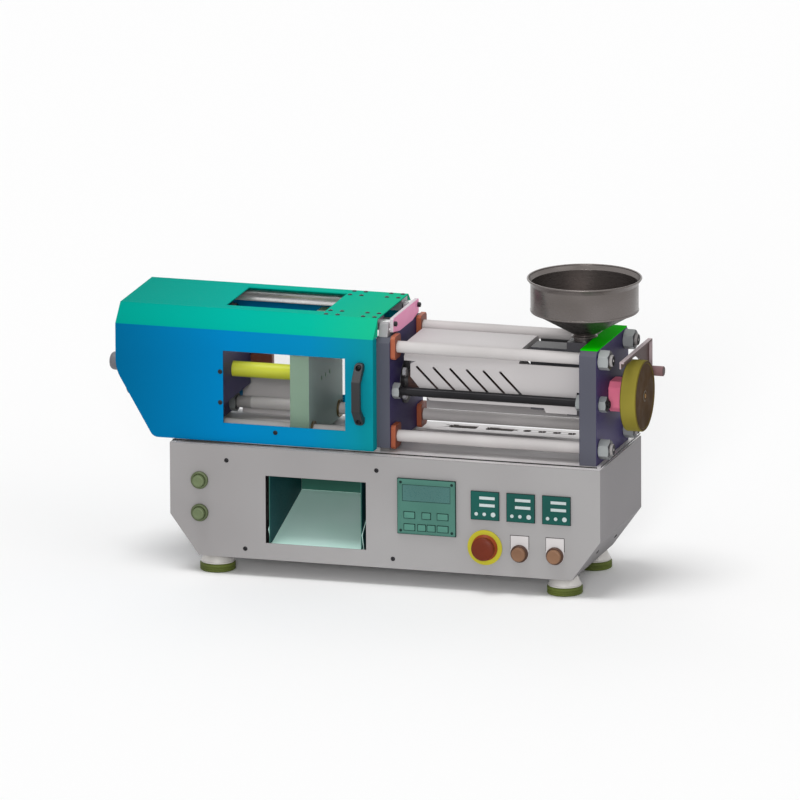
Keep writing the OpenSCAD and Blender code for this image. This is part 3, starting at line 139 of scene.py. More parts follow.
@dataclass(frozen=True)
class Finish:
    """A surface: what it is made of and how it was worked.

    The pattern is a noise in the piece's own millimetres, stretched along the grain. It moves the
    colour between two hues, the roughness by a little, and the surface by a bump. A soft edge
    catches the light where two faces meet.
    """

    name: str
    hue: str
    deep_hue: str
    roughness: float
    metallic: float = 0.0
    grain: Grain = Grain.EVEN
    grain_mm: float = 1.5
    bump_mm: float = 0.02
    roughness_swing: float = 0.08
    coat: float = 0.0
    edge_mm: float = 0.6
    cloud_mm: float = 120.0
    gloss: float = 0.4

    def pattern(self, tree: Tree, size_mm: float, detail: float,
                stretch: Point) -> Socket:
        """Add a noise of a real size.

        Args:
            tree: the node tree.
            size_mm: size of one spot.
            detail: how many finer layers the noise has.
            stretch: how far it is scaled along X, Y and Z.

        Returns:
            The noise's value socket.
        """
        place = add_node(tree, "ShaderNodeTexCoord").outputs["Object"]
        scaled = add_node(tree, "ShaderNodeMapping", inputs={"Vector": place, "Scale": stretch})
        noise = add_node(tree, "ShaderNodeTexNoise", inputs={
            "Vector": scaled.outputs["Vector"], "Scale": 1 / (size_mm * MM), "Detail": detail})
        return noise.outputs["Fac"]

    def clouds(self, tree: Tree, *pairs: tuple[str, str]) -> list[Socket]:
        """Let each pair of a deep and a plain hue change over in the same slow clouds.

        Args:
            tree: the node tree.
            pairs: deep and plain hue of each.

        Returns:
            The colour socket of each pair.
        """
        cloud = self.pattern(tree, self.cloud_mm, 2.0, (1.0, 1.0, 1.0))
        share = add_node(tree, "ShaderNodeMapRange", inputs={
            "Value": cloud, "From Min": CLOUD_LOW, "From Max": CLOUD_HIGH}).outputs["Result"]
        return [add_node(tree, "ShaderNodeMix", {"data_type": "RGBA"}, {
            "Factor": share, 6: linear(deep), 7: linear(plain)}).outputs[2]
            for deep, plain in pairs]

    def colour(self, tree: Tree) -> Socket:
        """Return the colour socket: slow clouds between the two hues."""
        return self.clouds(tree, (self.deep_hue, self.hue))[0]

    def dress(self, tree: Tree) -> None:
        """Fill a material's nodes.

        Args:
            tree: the node tree.
        """
        fine = self.pattern(tree, self.grain_mm, 3.0, self.grain.value)
        rough = add_node(tree, "ShaderNodeMapRange", inputs={
            "Value": fine, "From Min": NOISE_LOW, "From Max": NOISE_HIGH,
            "To Min": max(self.roughness - self.roughness_swing, 0.03),
            "To Max": min(self.roughness + self.roughness_swing, 1.0)})
        edge = add_node(tree, "ShaderNodeBevel", {"samples": 4},
                        {"Radius": self.edge_mm * MM})
        bump = add_node(tree, "ShaderNodeBump", inputs={
            "Height": fine, "Distance": self.bump_mm * MM, "Strength": 1.0,
            "Normal": edge.outputs["Normal"]})
        shader = add_node(tree, "ShaderNodeBsdfPrincipled", inputs={
            "Base Color": self.colour(tree), "Metallic": self.metallic,
            "Roughness": rough.outputs["Result"], "Normal": bump.outputs["Normal"],
            "Coat Weight": self.coat, "Coat Roughness": COAT_ROUGHNESS,
            "Specular IOR Level": self.gloss})
        add_node(tree, "ShaderNodeOutputMaterial", inputs={"Surface": shader.outputs["BSDF"]})

    def material(self) -> bpy.types.Material:
        """Make the finish's material, once.

        Returns:
            The material.
        """
        made = bpy.data.materials.get(self.name)
        if made is None:
            made = bpy.data.materials.new(self.name)
            made.use_nodes = True
            made.node_tree.nodes.clear()
            self.dress(made.node_tree)
        return made


@dataclass(frozen=True)
class TwoTone(Finish):
    """A finish whose faces square to one axis, the machine's length at first, stand apart."""

    face_hue: str = "#3a3352"
    deep_face_hue: str = "#332c4a"
    across: str = "X"

    def colour(self, tree: Tree) -> Socket:
        """Give the end faces one hue and the edges another.

        Args:
            tree: the node tree.

        Returns:
            The colour socket.
        """
        edge, face = self.clouds(tree, (self.deep_hue, self.hue),
                                 (self.deep_face_hue, self.face_hue))
        # Faces square to the axis take the face hue; where that hue differs only because of how
        # light falls, it is painted shade or painted light.
        normal = add_node(tree, "ShaderNodeTexCoord").outputs["Normal"]
        split = add_node(tree, "ShaderNodeSeparateXYZ", inputs={"Vector": normal})
        turn = add_node(tree, "ShaderNodeMath", {"operation": "ABSOLUTE"},
                        {0: split.outputs[self.across]})
        share = add_node(tree, "ShaderNodeMapRange", inputs={
            "Value": turn.outputs["Value"], "From Min": ASLANT, "From Max": SQUARE})
        mixed = add_node(tree, "ShaderNodeMix", {"data_type": "RGBA"}, {
            "Factor": share.outputs["Result"], 6: edge, 7: face})
        return mixed.outputs[2]


@dataclass(frozen=True)
class PaintedLightEnamel(Finish):
    """Enamel with painted light: a fade along the machine, and other hues on the upper faces.

    The sides go from blue at the clamp end to teal at the mould, and the bevels and the roof
    from sea green to leaf green.
    """

    start_mm: float = 0.0
    length_mm: float = 450.0
    bevel_z_mm: float = 420.0
    parting_mm: float = 0.3
    hues_at: tuple[float, ...] = (0.0, 0.45, 0.75, 0.98)
    side_hues: tuple[str, ...] = ("#00608c", "#007ab4", "#0480b0", "#0c8894")
    upper_hues: tuple[str, ...] = ("#009486", "#00a898", "#04b096", "#18b48a")

    def colour(self, tree: Tree) -> Socket:
        """Lay two fades along X, parted at the bevel's height.

        Args:
            tree: the node tree.

        Returns:
            The colour socket.
        """
        place = add_node(tree, "ShaderNodeTexCoord").outputs["Object"]
        split = add_node(tree, "ShaderNodeSeparateXYZ", inputs={"Vector": place})
        run = add_node(tree, "ShaderNodeMapRange", inputs={
            "Value": split.outputs["X"], "From Min": self.start_mm * MM,
            "From Max": (self.start_mm + self.length_mm) * MM})
        fades = []
        for hues in (self.side_hues, self.upper_hues):
            fade = add_node(tree, "ShaderNodeValToRGB", inputs={"Fac": run.outputs["Result"]})
            stops = fade.color_ramp.elements
            for position, hue in zip(self.hues_at, hues):
                stop = stops[0] if position == 0 else stops.new(position)
                stop.color = linear(hue)
            stops.remove(stops[-1])
            fades.append(fade.outputs["Color"])
        height = add_node(tree, "ShaderNodeMapRange", inputs={
            "Value": split.outputs["Z"],
            "From Min": (self.bevel_z_mm - self.parting_mm) * MM,
            "From Max": (self.bevel_z_mm + self.parting_mm) * MM})
        mixed = add_node(tree, "ShaderNodeMix", {"data_type": "RGBA"}, {
            "Factor": height.outputs["Result"], 6: fades[0], 7: fades[1]})
        return mixed.outputs[2]


@dataclass(frozen=True)
class ClearSheet(Finish):
    """Clear polycarbonate sheet: almost nothing to see but its gloss."""

    opacity: float = 0.03
    index: float = 1.58

    def dress(self, tree: Tree) -> None:
        """Fill a material's nodes.

        Args:
            tree: the node tree.
        """
        fine = self.pattern(tree, self.grain_mm, 2.0, self.grain.value)
        rough = add_node(tree, "ShaderNodeMapRange", inputs={
            "Value": fine, "To Min": self.roughness, "To Max": self.roughness + 0.05})
        shader = add_node(tree, "ShaderNodeBsdfPrincipled", inputs={
            "Base Color": self.colour(tree), "Roughness": rough.outputs["Result"],
            "Alpha": self.opacity, "IOR": self.index})
        add_node(tree, "ShaderNodeOutputMaterial", inputs={"Surface": shader.outputs["BSDF"]})


# ---- finishes: what each surface is, and what that gives the eye ----
#
# The real grain of a coat, a wheel or a mould is finer than 0.1 mm, so each is drawn as coarse
# as it needs to be to show.

# Powder coat on folded steel sheet: a faint orange peel and a dull satin sheen. Its end walls are
# drawn darker: painted shade.
CABINET_COAT = TwoTone("cabinet_powder_coat", "#a19f9f", "#949191", 0.6, grain_mm=0.9,
                       bump_mm=0.012, cloud_mm=420.0, gloss=0.15, face_hue="#8c898b",
                       deep_face_hue="#828082")
# Ground steel plate: long fine lines, a bright top and dark edges, painted light and painted
# shade.
DECK_STEEL = TwoTone("deck_ground_steel", "#5a5553", "#4c4846", 0.42, 0.15, Grain.ALONG_X, 0.5,
                     0.006, face_hue="#dddada", deep_face_hue="#d2cece", across="Z")
# Satin enamel sprayed on machined steel: even and flat, violet on the faces and slate on the
# edges, which are painted shade on the faces and painted light on the edges.
PLATE_ENAMEL = TwoTone("plate_satin_enamel", "#5c5d68", "#52535e", 0.5, grain_mm=0.7,
                       bump_mm=0.01, cloud_mm=260.0, gloss=0.15, face_hue="#3b3262",
                       deep_face_hue="#332c54")
# The same enamel in grey green, paler on the faces.
MOVING_ENAMEL = TwoTone("moving_plate_enamel", "#869f8b", "#7c9682", 0.5, grain_mm=0.7,
                        bump_mm=0.01, cloud_mm=200.0, gloss=0.2, face_hue="#a9bdb6",
                        deep_face_hue="#9cb0a9")
# Matt green enamel: one strong colour without a highlight.
CAP_ENAMEL = Finish("cap_green_enamel", "#0cca00", "#0abc00", 0.7, bump_mm=0.006, gloss=0.02)
# Oxide primer on steel blocks: brick red, with soft edges; darker on the faces and lighter on
# the edges, as painted shade and painted light.
KEEPER_ENAMEL = TwoTone("keeper_oxide_primer", "#a85c40", "#964c30", 0.48, edge_mm=1.2,
                        gloss=0.25, face_hue="#7c3c28", deep_face_hue="#6c3020")
# Rose enamel on a casting: smooth, with a weak sheen.
HOUSING_ENAMEL = Finish("housing_rose_enamel", "#ff86a4", "#f67a98", 0.45, gloss=0.25)
# Pink enamel on plate, its edges and top pale grey with painted light.
CROSS_ENAMEL = TwoTone("cross_plate_pink_enamel", "#cfc6cc", "#c2b8be", 0.5, gloss=0.2,
                       face_hue="#ffa8d0", deep_face_hue="#f89cc6")
# Turned disc lacquered olive: rings of the tool, and a face painted dark brown: painted shade.
DISC_ENAMEL = TwoTone("disc_olive_bronze", "#948a3a", "#847a30", 0.6, 0.0, Grain.ROUND_X, 0.8,
                      0.02, cloud_mm=90.0, gloss=0.05, face_hue="#402a0c",
                      deep_face_hue="#34220a")
# Paint on sheet: pale rims, and a web painted dark brown: painted shade.
BRACKET_COAT = TwoTone("bracket_coat_shaded_web", "#b3a3a6", "#a5959a", 0.5, gloss=0.2,
                       face_hue="#44302e", deep_face_hue="#382624")
# Browned steel pin: dull rose brown, its end painted nearly black: painted shade.
PIN_BROWN = TwoTone("pin_browned_steel", "#86686a", "#76595b", 0.5, gloss=0.2,
                    face_hue="#3a2826", deep_face_hue="#302220")
# Powder coat on the thin cover sheet: pale, with a faint orange peel.
COVER_COAT = Finish("cover_powder_coat", "#c4c0c0", "#b9b5b5", 0.55, grain_mm=0.9,
                    bump_mm=0.01, cloud_mm=300.0, gloss=0.2)
# Mint enamel on folded sheet: a pale ramp between side walls painted dark: painted shade.
CHUTE_ENAMEL = TwoTone("chute_mint_enamel", "#dcfff6", "#d2faee", 0.5, gloss=0.15,
                       face_hue="#1a5054", deep_face_hue="#16464a")
# Painted shade: a dark finish on the chute's lining, which lets the ramp stand out.
CHUTE_SHADE = TwoTone("chute_lining_painted_shade", "#3f7868", "#386c5e", 0.55, gloss=0.15,
                      face_hue="#174c50", deep_face_hue="#134246")
# Hard chrome, ground round: pale and nearly matt, its ends painted dark: painted shade.
BAR_CHROME = TwoTone("ground_chromed_bar", "#c6c2c1", "#bbb7b6", 0.5, 0.05, Grain.ROUND_X, 0.4,
                     0.003, 0.04, gloss=0.06, face_hue="#1c1b20", deep_face_hue="#18171b")
# Zinc plate on steel: a grey bloom.
ZINC_STEEL = Finish("zinc_plated_steel", "#727378", "#5e5f64", 0.4, 0.6, grain_mm=0.6,
                    bump_mm=0.006)
# Ground rail steel: bright, with lines along its length.
RAIL_STEEL = Finish("ground_rail_steel", "#d2d0d0", "#c0bebe", 0.3, 0.7, Grain.ALONG_X, 0.4)
# Blackened steel, turned: near black with a soft streak of light.
BLACK_STEEL = Finish("blackened_steel", "#232225", "#161517", 0.36, 0.6, Grain.ROUND_X, 0.6,
                     0.005)
# Blackened screws: the same without the lines.
BLACK_FASTENER = Finish("blackened_fastener", "#2a292c", "#19181a", 0.4, 0.6)
# Yellow passivated rod: clear greenish yellow, faintly turned.
ROD_CHROMATE = Finish("yellow_passivated_rod", "#e4e840", "#d8dc38", 0.45, 0.0, Grain.ROUND_X,
                      0.5, 0.004)
# Turned brass: a small warm ring.
MARK_BRASS = Finish("centre_mark_brass", "#a87a34", "#94682a", 0.45, 0.4, Grain.ROUND_X, 0.5)
# Turned bronze: brown gold, with fine rings.
BRONZE = Finish("turned_bronze", "#8c7a56", "#6f5f40", 0.35, 0.8, Grain.ROUND_X, 0.5, 0.006)
# Honed aluminium tube: silvery, with lines along it.
CYLINDER_TUBE = Finish("honed_aluminium_tube", "#9a9ca2", "#85878e", 0.35, 0.8, Grain.ALONG_X,
                       0.6, 0.005)
# Cast iron under satin lacquer: dark grey with a coarse skin.
CAST_CAP = Finish("cap_satin_iron", "#6c6c71", "#5a5a60", 0.5, 0.3, grain_mm=1.6, bump_mm=0.05)
# Nitrided steel: dull charcoal.
NITRIDED = Finish("nitrided_steel", "#4b4a4b", "#3a393b", 0.42, 0.6, Grain.ALONG_X, 0.7, 0.008)
# The feed block's nitrided steel: charcoal sides and a darker top.
FEED_STEEL = TwoTone("feed_block_nitrided_steel", "#545358", "#49484c", 0.45, 0.5, Grain.ALONG_X,
                     0.7, 0.008, face_hue="#2c2b2d", deep_face_hue="#242325", across="Z")
# Heater sheet scaled by heat: brown and violet patches.
HEATER_SHEET = Finish("heater_scaled_sheet", "#4a332c", "#33262a", 0.5, 0.3, Grain.ROUND_X, 1.5,
                      0.02, cloud_mm=14.0)
# Spun stainless steel: fine rings round the axis that draw the light out sideways.
HOPPER_STEEL = Finish("spun_stainless_steel", "#77716f", "#68625f", 0.3, 0.85, Grain.ROUND_Z,
                      0.7, 0.006, 0.06)
# Machined alloy: mid grey, with lines across.
SUPPORT_ALLOY = Finish("machined_alloy", "#9c9a9c", "#8c8a8c", 0.42, 0.3, Grain.ALONG_Y, 0.5)
# Slide block steel: grey, ground along its length.
BLOCK_STEEL = Finish("slide_block_steel", "#8d8f93", "#7a7c80", 0.36, 0.7, Grain.ALONG_X, 0.5)
# Turned alloy: pale and soft.
CONE_ALLOY = Finish("turned_alloy", "#cbc8c4", "#bebab6", 0.4, 0.2, Grain.ROUND_Z, 0.5, 0.006)
# Blued steel: nearly black.
FLANGE_STEEL = Finish("blued_flange_steel", "#2b2a2e", "#1d1c20", 0.38, 0.5, Grain.ROUND_X, 0.6,
                      0.005)
# Zinc plated nuts: pale flats, and ends painted dark: painted shade.
NUT_ZINC = TwoTone("zinc_plated_nut", "#9ea2a2", "#8e9292", 0.42, 0.3, grain_mm=0.6,
                   bump_mm=0.006, face_hue="#2e2e33", deep_face_hue="#26262b")
# Bright zinc bolts: almost white.
BRIGHT_ZINC = Finish("bright_zinc_bolt", "#d8d8da", "#c4c4c8", 0.32, 0.5, grain_mm=0.6)
# Moulded rubber: dark olive, matt, with a coarse skin.
PAD_RUBBER = Finish("olive_rubber", "#5c6824", "#3e4718", 0.7, grain_mm=0.8, bump_mm=0.03)
# Moulded nylon: black, a fine matt grain and round edges.
BLACK_PLASTIC = Finish("moulded_black_plastic", "#26262a", "#1b1b1e", 0.42, grain_mm=0.5,
                       bump_mm=0.015, edge_mm=1.0)
# Moulded ABS in teal, under a printed film a shade apart for window and keys.
PANEL_PLASTIC = Finish("panel_teal_plastic", "#49786c", "#427064", 0.55, grain_mm=0.4,
                       bump_mm=0.01, gloss=0.2)
DISPLAY_FILM = Finish("display_window_film", "#43706c", "#3d6864", 0.3, coat=0.1, bump_mm=0.0,
                      gloss=0.3)
KEY_FILM = Finish("key_membrane", "#508476", "#487a6c", 0.45, gloss=0.2)
# Moulded ABS in dark green, with segments in white.
CONTROLLER_PLASTIC = Finish("controller_green_plastic", "#0e544c", "#0b4a43", 0.45, gloss=0.2)
READOUT = Finish("readout_white_segments", "#c2cccc", "#b8c2c2", 0.5, gloss=0.2)
# Moulded ABS of the emergency stop: yellow ring, red head, orange collar.
WARNING_YELLOW = Finish("warning_yellow_plastic", "#b9b02c", "#aca326", 0.45, gloss=0.2)
STOP_RED = Finish("stop_red_plastic", "#6c2812", "#5c2010", 0.45, gloss=0.2)
STOP_ORANGE = Finish("stop_collar_orange_plastic", "#8e3e16", "#7e3410", 0.45, gloss=0.2)
# Anodised aluminium sheet on a dark foam gasket.
LEGEND_SHEET = Finish("legend_anodised_sheet", "#cfcbcb", "#c6c2c2", 0.5, 0.1, Grain.ALONG_X)
LEGEND_EDGE = Finish("legend_dark_gasket", "#2a2726", "#211f1e", 0.6, gloss=0.2)
# Moulded caps and housings: copper brown, grey olive and red brown.
COPPER_PLASTIC = Finish("copper_brown_plastic", "#86644c", "#785844", 0.45, gloss=0.2)
OLIVE_PLASTIC = Finish("grey_olive_plastic", "#6c7857", "#626e4f", 0.45, gloss=0.2)
SWITCH_PLASTIC = Finish("switch_red_brown_plastic", "#8a4632", "#763a28", 0.45)
# Joints in shade: dark gaps between panel parts.
PANEL_JOINT = Finish("dark_panel_joint", "#14332d", "#102a25", 0.6, gloss=0.2)
CONTROLLER_EDGE = Finish("dark_controller_edge", "#06211f", "#051a18", 0.5, gloss=0.2)
# Lacquered brass collars, darker than the caps they hold.
COLLAR_COPPER = Finish("collar_dark_copper", "#4c3226", "#40291f", 0.45, 0.1)
COLLAR_OLIVE = Finish("collar_grey_olive", "#586342", "#4c5638", 0.45, 0.1)
# Clear polycarbonate sheet: hardly more than its gloss.
CLEAR_SHEET = ClearSheet("clear_polycarbonate", "#1c2a2a", "#182424", 0.04)


# ---- boxes and solids of the frame, in millimetres ----


@dataclass(frozen=True)
class Box:
    """A box between two corners."""

    low: Vector
    high: Vector

    @property
    def size(self) -> Vector:
        """Return the box's length, depth and height."""
        return self.high - self.low

    def at(self, x: float = 0.5, y: float = 0.5, z: float = 0.5) -> Vector:
        """Return a point of the box, by shares of its size from its lowest corner."""
        return self.low + self.size * Vector((x, y, z))


@dataclass(frozen=True)
class Solid(Box):
    """One separate solid of a node: its box, and the middle and normal of its widest face."""

    end: Vector
    way: Vector


def box(node: str) -> Box:
    """Return the box of a node."""
    return Box(*(Vector(corner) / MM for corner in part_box(node)))


def solids(node: str) -> list[Solid]:
    """Return the separate solids of a node.

    Args:
        node: the node's name.

    Returns:
        The solids in order of their lowest corners.
    """
    mesh = bmesh.new()
    mesh.from_mesh(frame["nodes"][node].data)
    bmesh.ops.remove_doubles(mesh, verts=mesh.verts, dist=MERGE)
    bmesh.ops.dissolve_limit(mesh, angle_limit=FLAT, verts=mesh.verts, edges=mesh.edges)
    found, seen = [], set()
    for start in mesh.verts:
        if start in seen:
            continue
        seen.add(start)
        group, queue = [], [start]
        while queue:
            corner = queue.pop()
            group.append(corner)
            for other in (edge.other_vert(corner) for edge in corner.link_edges):
                if other not in seen:
                    seen.add(other)
                    queue.append(other)
        low, high = (Vector([pick_one(v.co[i] for v in group) for i in range(3)]) / MM
                     for pick_one in (min, max))
        faces = {face for v in group for face in v.link_faces}
        widest = max(faces, key=lambda face: face.calc_area())
        found.append(Solid(low, high, widest.calc_center_median() / MM, widest.normal.copy()))
    mesh.free()
    return sorted(found, key=lambda s: tuple(round(c, 2) for c in s.low))


def alike(node: str) -> list[list[Solid]]:
    """Return a node's solids in groups that share a width and a length.

    Args:
        node: the node's name.

    Returns:
        The groups, the smallest size first.
    """
    groups: dict[tuple[float, float], list[Solid]] = {}
    for solid in solids(node):
        key = (round(solid.size.y, 1), round(solid.size.x, 1))
        groups.setdefault(key, []).append(solid)
    return [groups[key] for key in sorted(groups)]


def facing(at: Sequence[float], way: Sequence[float]) -> Matrix:
    """Return the place of a piece modelled up Z that stands at a point and points some way."""
    turned_to = Vector(way).to_track_quat("Z", "Y").to_matrix().to_4x4()
    return Matrix.Translation(Vector(at) * MM) @ turned_to


class Run(Enum):
    """The way that a round piece points."""

    X = (1.0, 0.0, 0.0)
    Y = (0.0, -1.0, 0.0)
    Z = (0.0, 0.0, 1.0)

    def at(self, point: Sequence[float]) -> Matrix:
        """Return the place of a piece that stands at a point and points this way."""
        return facing(point, self.value)

    def on(self, *boxes: Box) -> list[Matrix]:
        """Return the places of pieces that each fill a box from its first end."""
        return [self.at(one.at(*(0.5 - way / 2 for way in self.value))) for one in boxes]


# ---- modelling, as by hand; sizes are in millimetres ----


def pick(*pieces: Piece) -> None:
    """Select these pieces alone.

    Args:
        *pieces: the pieces, the active one first.
    """
    bpy.ops.object.select_all(action="DESELECT")
    for piece in pieces:
        piece.select_set(True)
    bpy.context.view_layer.objects.active = pieces[0]


def edit(piece: Piece) -> None:
    """Open a piece in edit mode with all of it selected.

    Args:
        piece: the piece.
    """
    pick(piece)
    bpy.ops.object.mode_set(mode="EDIT")
    bpy.ops.mesh.select_mode(type="VERT")
    bpy.ops.mesh.select_all(action="SELECT")


def extrude(height: float) -> None:
    """Extrude what is selected up Z."""
    bpy.ops.mesh.extrude_region_move(TRANSFORM_OT_translate={"value": (0, 0, height * MM)})


def close(piece: Piece) -> Piece:
    """Merge doubles, turn normals outwards, leave edit mode and smooth up to an angle.

    Args:
        piece: the piece in edit mode.

    Returns:
        The piece.
    """
    bpy.ops.mesh.select_all(action="SELECT")
    bpy.ops.mesh.remove_doubles(threshold=MERGE)
    bpy.ops.mesh.normals_make_consistent(inside=False)
    bpy.ops.object.mode_set(mode="OBJECT")
    pick(piece)
    bpy.ops.object.shade_smooth_by_angle(angle=SMOOTH_FORM)
    return piece


def modify(piece: Piece, kind: str, **settings: object) -> Piece:
    """Finish a piece with a modifier and apply it.

    Args:
        piece: the piece.
        kind: the modifier's type.
        **settings: the modifier's settings.

    Returns:
        The piece.
    """
    made = piece.modifiers.new("finish", kind)
    for key, value in settings.items():
        setattr(made, key, value)
    pick(piece)
    bpy.ops.object.modifier_apply(modifier="finish")
    return piece


def place(piece: Piece, matrix: Matrix) -> Piece:
    """Put a piece at its place and apply that to its mesh.

    Args:
        piece: the piece, modelled at the origin.
        matrix: its place.

    Returns:
        The piece.
    """
    piece.matrix_world = matrix
    pick(piece)
    bpy.ops.object.transform_apply(location=True, rotation=True, scale=True)
    return piece


def turned(name: str, rings: Rings, sides: int = 48) -> Piece:
    """Turn a profile round Z, ring by ring.

    Args:
        name: the piece's name.
        rings: height and radius of each ring. Where the last is the first, the profile closes
            into a hollow ring, and otherwise flat caps close both ends.
        sides: facets round the axis.

    Returns:
        The piece.
    """
    hollow = rings[0] == rings[-1]
    height, radius = rings[0]
    bpy.ops.mesh.primitive_circle_add(vertices=sides, radius=radius * MM,
                                      fill_type="NOTHING" if hollow else "NGON")
    piece = bpy.context.object
    piece.name = name
    edit(piece)
    bpy.ops.transform.translate(value=(0, 0, height * MM))
    for (low, before), (high, after) in zip(rings, rings[1:]):
        extrude(high - low)
        ratio = after / before
        bpy.ops.transform.resize(value=(ratio, ratio, 1), center_override=(0, 0, high * MM))
    return close(piece)


def bored(name: str, rings: Rings, bore: float, sides: int = 48) -> Piece:
    """Turn a profile with a plain bore through it, bore being its radius."""
    low, high = rings[0][0], rings[-1][0]
    return turned(name, [(low, bore), *rings, (high, bore), (low, bore)], sides)


def rounded(top: float, side: float, radius: float, angles: Iterable[float]) -> Rings:
    """Return the rings of a round edge.

    Args:
        top: height of the round's highest point.
        side: radius of the round's widest point.
        radius: how round it is.
        angles: angles of the rings over the level, in degrees.

    Returns:
        Heights and radii.
    """
    turns = [math.radians(a) for a in angles]
    return [(top - radius + radius * math.sin(a), side - radius + radius * math.cos(a))
            for a in turns]


def hexagon(flats: float, low: float, high: float, turn: float = 90.0) -> Piece:
    """Extrude a hexagon up Z, given its width across flats, and turn it by some degrees."""
    made = turned("hexagon", [(low, flats / ROOT_3), (high, flats / ROOT_3)], 6)
    return place(made, Matrix.Rotation(math.radians(turn), 4, "Z"))


def plane(x: float, y: float) -> Piece:
    """Add a rectangle round the origin and open it in edit mode.

    Args:
        x: its length.
        y: its depth.

    Returns:
        The piece.
    """
    bpy.ops.mesh.primitive_plane_add(size=MM)
    piece = bpy.context.object
    edit(piece)
    bpy.ops.transform.resize(value=(x, y, 1), center_override=(0, 0, 0))
    return piece


def slab(name: str, low: Sequence[float], high: Sequence[float], soft: float,
         steps: int = 2) -> Piece:
    """Extrude a rectangle into a block with softened edges.

    Args:
        name: the piece's name.
        low: one corner.
        high: the opposite corner.
        soft: width of the softened edges.
        steps: facets across an edge.

    Returns:
        The piece.
    """
    (x, right), (y, back), (z, top) = (sorted(pair) for pair in zip(low, high))
    piece = plane(right - x, back - y)
    piece.name = name
    bpy.ops.transform.translate(value=((x + right) / 2 * MM, (y + back) / 2 * MM, z * MM))
    extrude(top - z)
    return soften(close(piece), soft, steps)


def join(name: str, *pieces: Piece) -> Piece:
    """Join pieces into the first.

    Args:
        name: the joined piece's name.
        *pieces: the pieces.

    Returns:
        The joined piece.
    """
    if len(pieces) > 1:
        pick(*pieces)
        bpy.ops.object.join()
    pieces[0].name = name
    return pieces[0]


def new_piece(name: str, mesh: bpy.types.Mesh) -> Piece:
    """Add an object with its own copy of a mesh.

    Args:
        name: the piece's name.
        mesh: the mesh to copy.

    Returns:
        The piece.
    """
    piece = bpy.data.objects.new(name, mesh.copy())
    bpy.context.scene.collection.objects.link(piece)
    return piece


def repeat(pattern: Piece, name: str, places: Iterable[Matrix]) -> Piece:
    """Copy a pattern to each place, each copy with its own mesh, and join the copies.

    Args:
        pattern: the modelled original, which is removed.
        name: the joined piece's name.
        places: where the copies go.

    Returns:
        The joined piece.
    """
    made = [place(new_piece(name, pattern.data), matrix) for matrix in places]
    bpy.data.objects.remove(pattern)
    return join(name, *made)


def even(piece: Piece) -> Piece:
    """Smooth a piece up to an angle, its large faces staying flat.

    Args:
        piece: the piece.

    Returns:
        The piece.
    """
    pick(piece)
    bpy.ops.object.shade_smooth_by_angle(angle=SMOOTH_PIECE)
    return modify(piece, "WEIGHTED_NORMAL", keep_sharp=True)


def carve(piece: Piece, cutter: Piece,
          operation: str = "DIFFERENCE") -> Piece:
    """Cut a piece with another.

    Args:
        piece: the piece.
        cutter: the other one, which is used up.
        operation: how the two are combined.

    Returns:
        The piece.
    """
    modify(piece, "BOOLEAN", operation=operation, solver="EXACT", object=cutter)
    bpy.data.objects.remove(cutter)
    return even(piece)


def soften(piece: Piece, width: float, steps: int = 2) -> Piece:
    """Soften a piece's edges, over a width and in some facets."""
    return even(modify(piece, "BEVEL", width=width * MM, segments=steps, limit_method="ANGLE",
                       angle_limit=SOFT_EDGE, miter_outer="MITER_ARC"))


def merged_copy(node: str, name: str) -> Piece:
    """Copy a node's mesh as one merged skin.

    Args:
        node: the node.
        name: the copy's name.

    Returns:
        The copy.
    """
    piece = new_piece(name, frame["nodes"][node].data)
    edit(piece)
    bpy.ops.mesh.remove_doubles(threshold=MERGE)
    bpy.ops.object.mode_set(mode="OBJECT")
    return even(piece)


def coat(piece: Piece, finish: Finish) -> None:
    """Give a piece its finish all over."""
    piece.data.materials.clear()
    piece.data.materials.append(finish.material())


def settle(piece: Piece, finish: Finish, node: str, stands_for: bool = True) -> None:
    """Dress a piece and let it ride with a node.

    Args:
        piece: the finished piece.
        finish: its finish.
        node: the node whose body it shares.
        stands_for: whether it takes the node's place.
    """
    record = frame["record"]
    bodies = record["behaviour"]["bodies"]
    body = next((name for name, nodes in bodies.items() if node in nodes), "root")
    coat(piece, finish)
    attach(piece, body)
    if stands_for:
        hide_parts(node)
    LOG.info("%s: %d faces on %s", piece.name, len(piece.data.polygons), body)


def fit(name: str, pattern: Piece, places: Iterable[Matrix], finish: Finish,
        node: str, stands_for: bool = True) -> None:
    """Settle copies of a pattern, all of them as one piece."""
    settle(repeat(pattern, name, places), finish, node, stands_for)


def dress(**nodes: list) -> None:
    """Stand a dressed copy of each node in its place.

    Args:
        nodes: by node, its finish alone for a copy that is only shaded smoothly, or its finish
            with the width of its softened edges, and how many facets they have.
    """
    for node, (finish, *edges) in nodes.items():
        piece = merged_copy(node, f"{node}-{'soft' if edges else 'smooth'}")
        if edges:
            edit(piece)
            bpy.ops.mesh.dissolve_limited(angle_limit=FLAT)
            bpy.ops.object.mode_set(mode="OBJECT")
            soften(piece, *edges)
        settle(piece, finish, node)


# ---- fasteners and small repeated forms ----


@dataclass(frozen=True)
class ButtonScrew:
    """Round-headed screw with a hexagon socket."""

    head: float = 8.0
    height: float = 2.0
    socket: float = 2.5

    def pattern(self) -> Piece:
        """Model one screw head that stands on its seat.

        Returns:
            The head.
        """
        r, h = self.head / 2, self.height
        made = turned("screw", [(0, r), (h * 0.35, r), (h * 0.7, r * 0.88), (h * 0.92, r * 0.66),
                                (h, r * 0.5)], 24)
        return carve(made, hexagon(self.socket, h * 0.3, h + 1))

    def on(self, node: str) -> None:
        """Put a screw on the outer end of each of a node's solids."""
        places = [facing(s.end - s.way * self.height, s.way) for s in solids(node)]
        fit(f"{node}-domed", self.pattern(), places, BLACK_FASTENER, node)


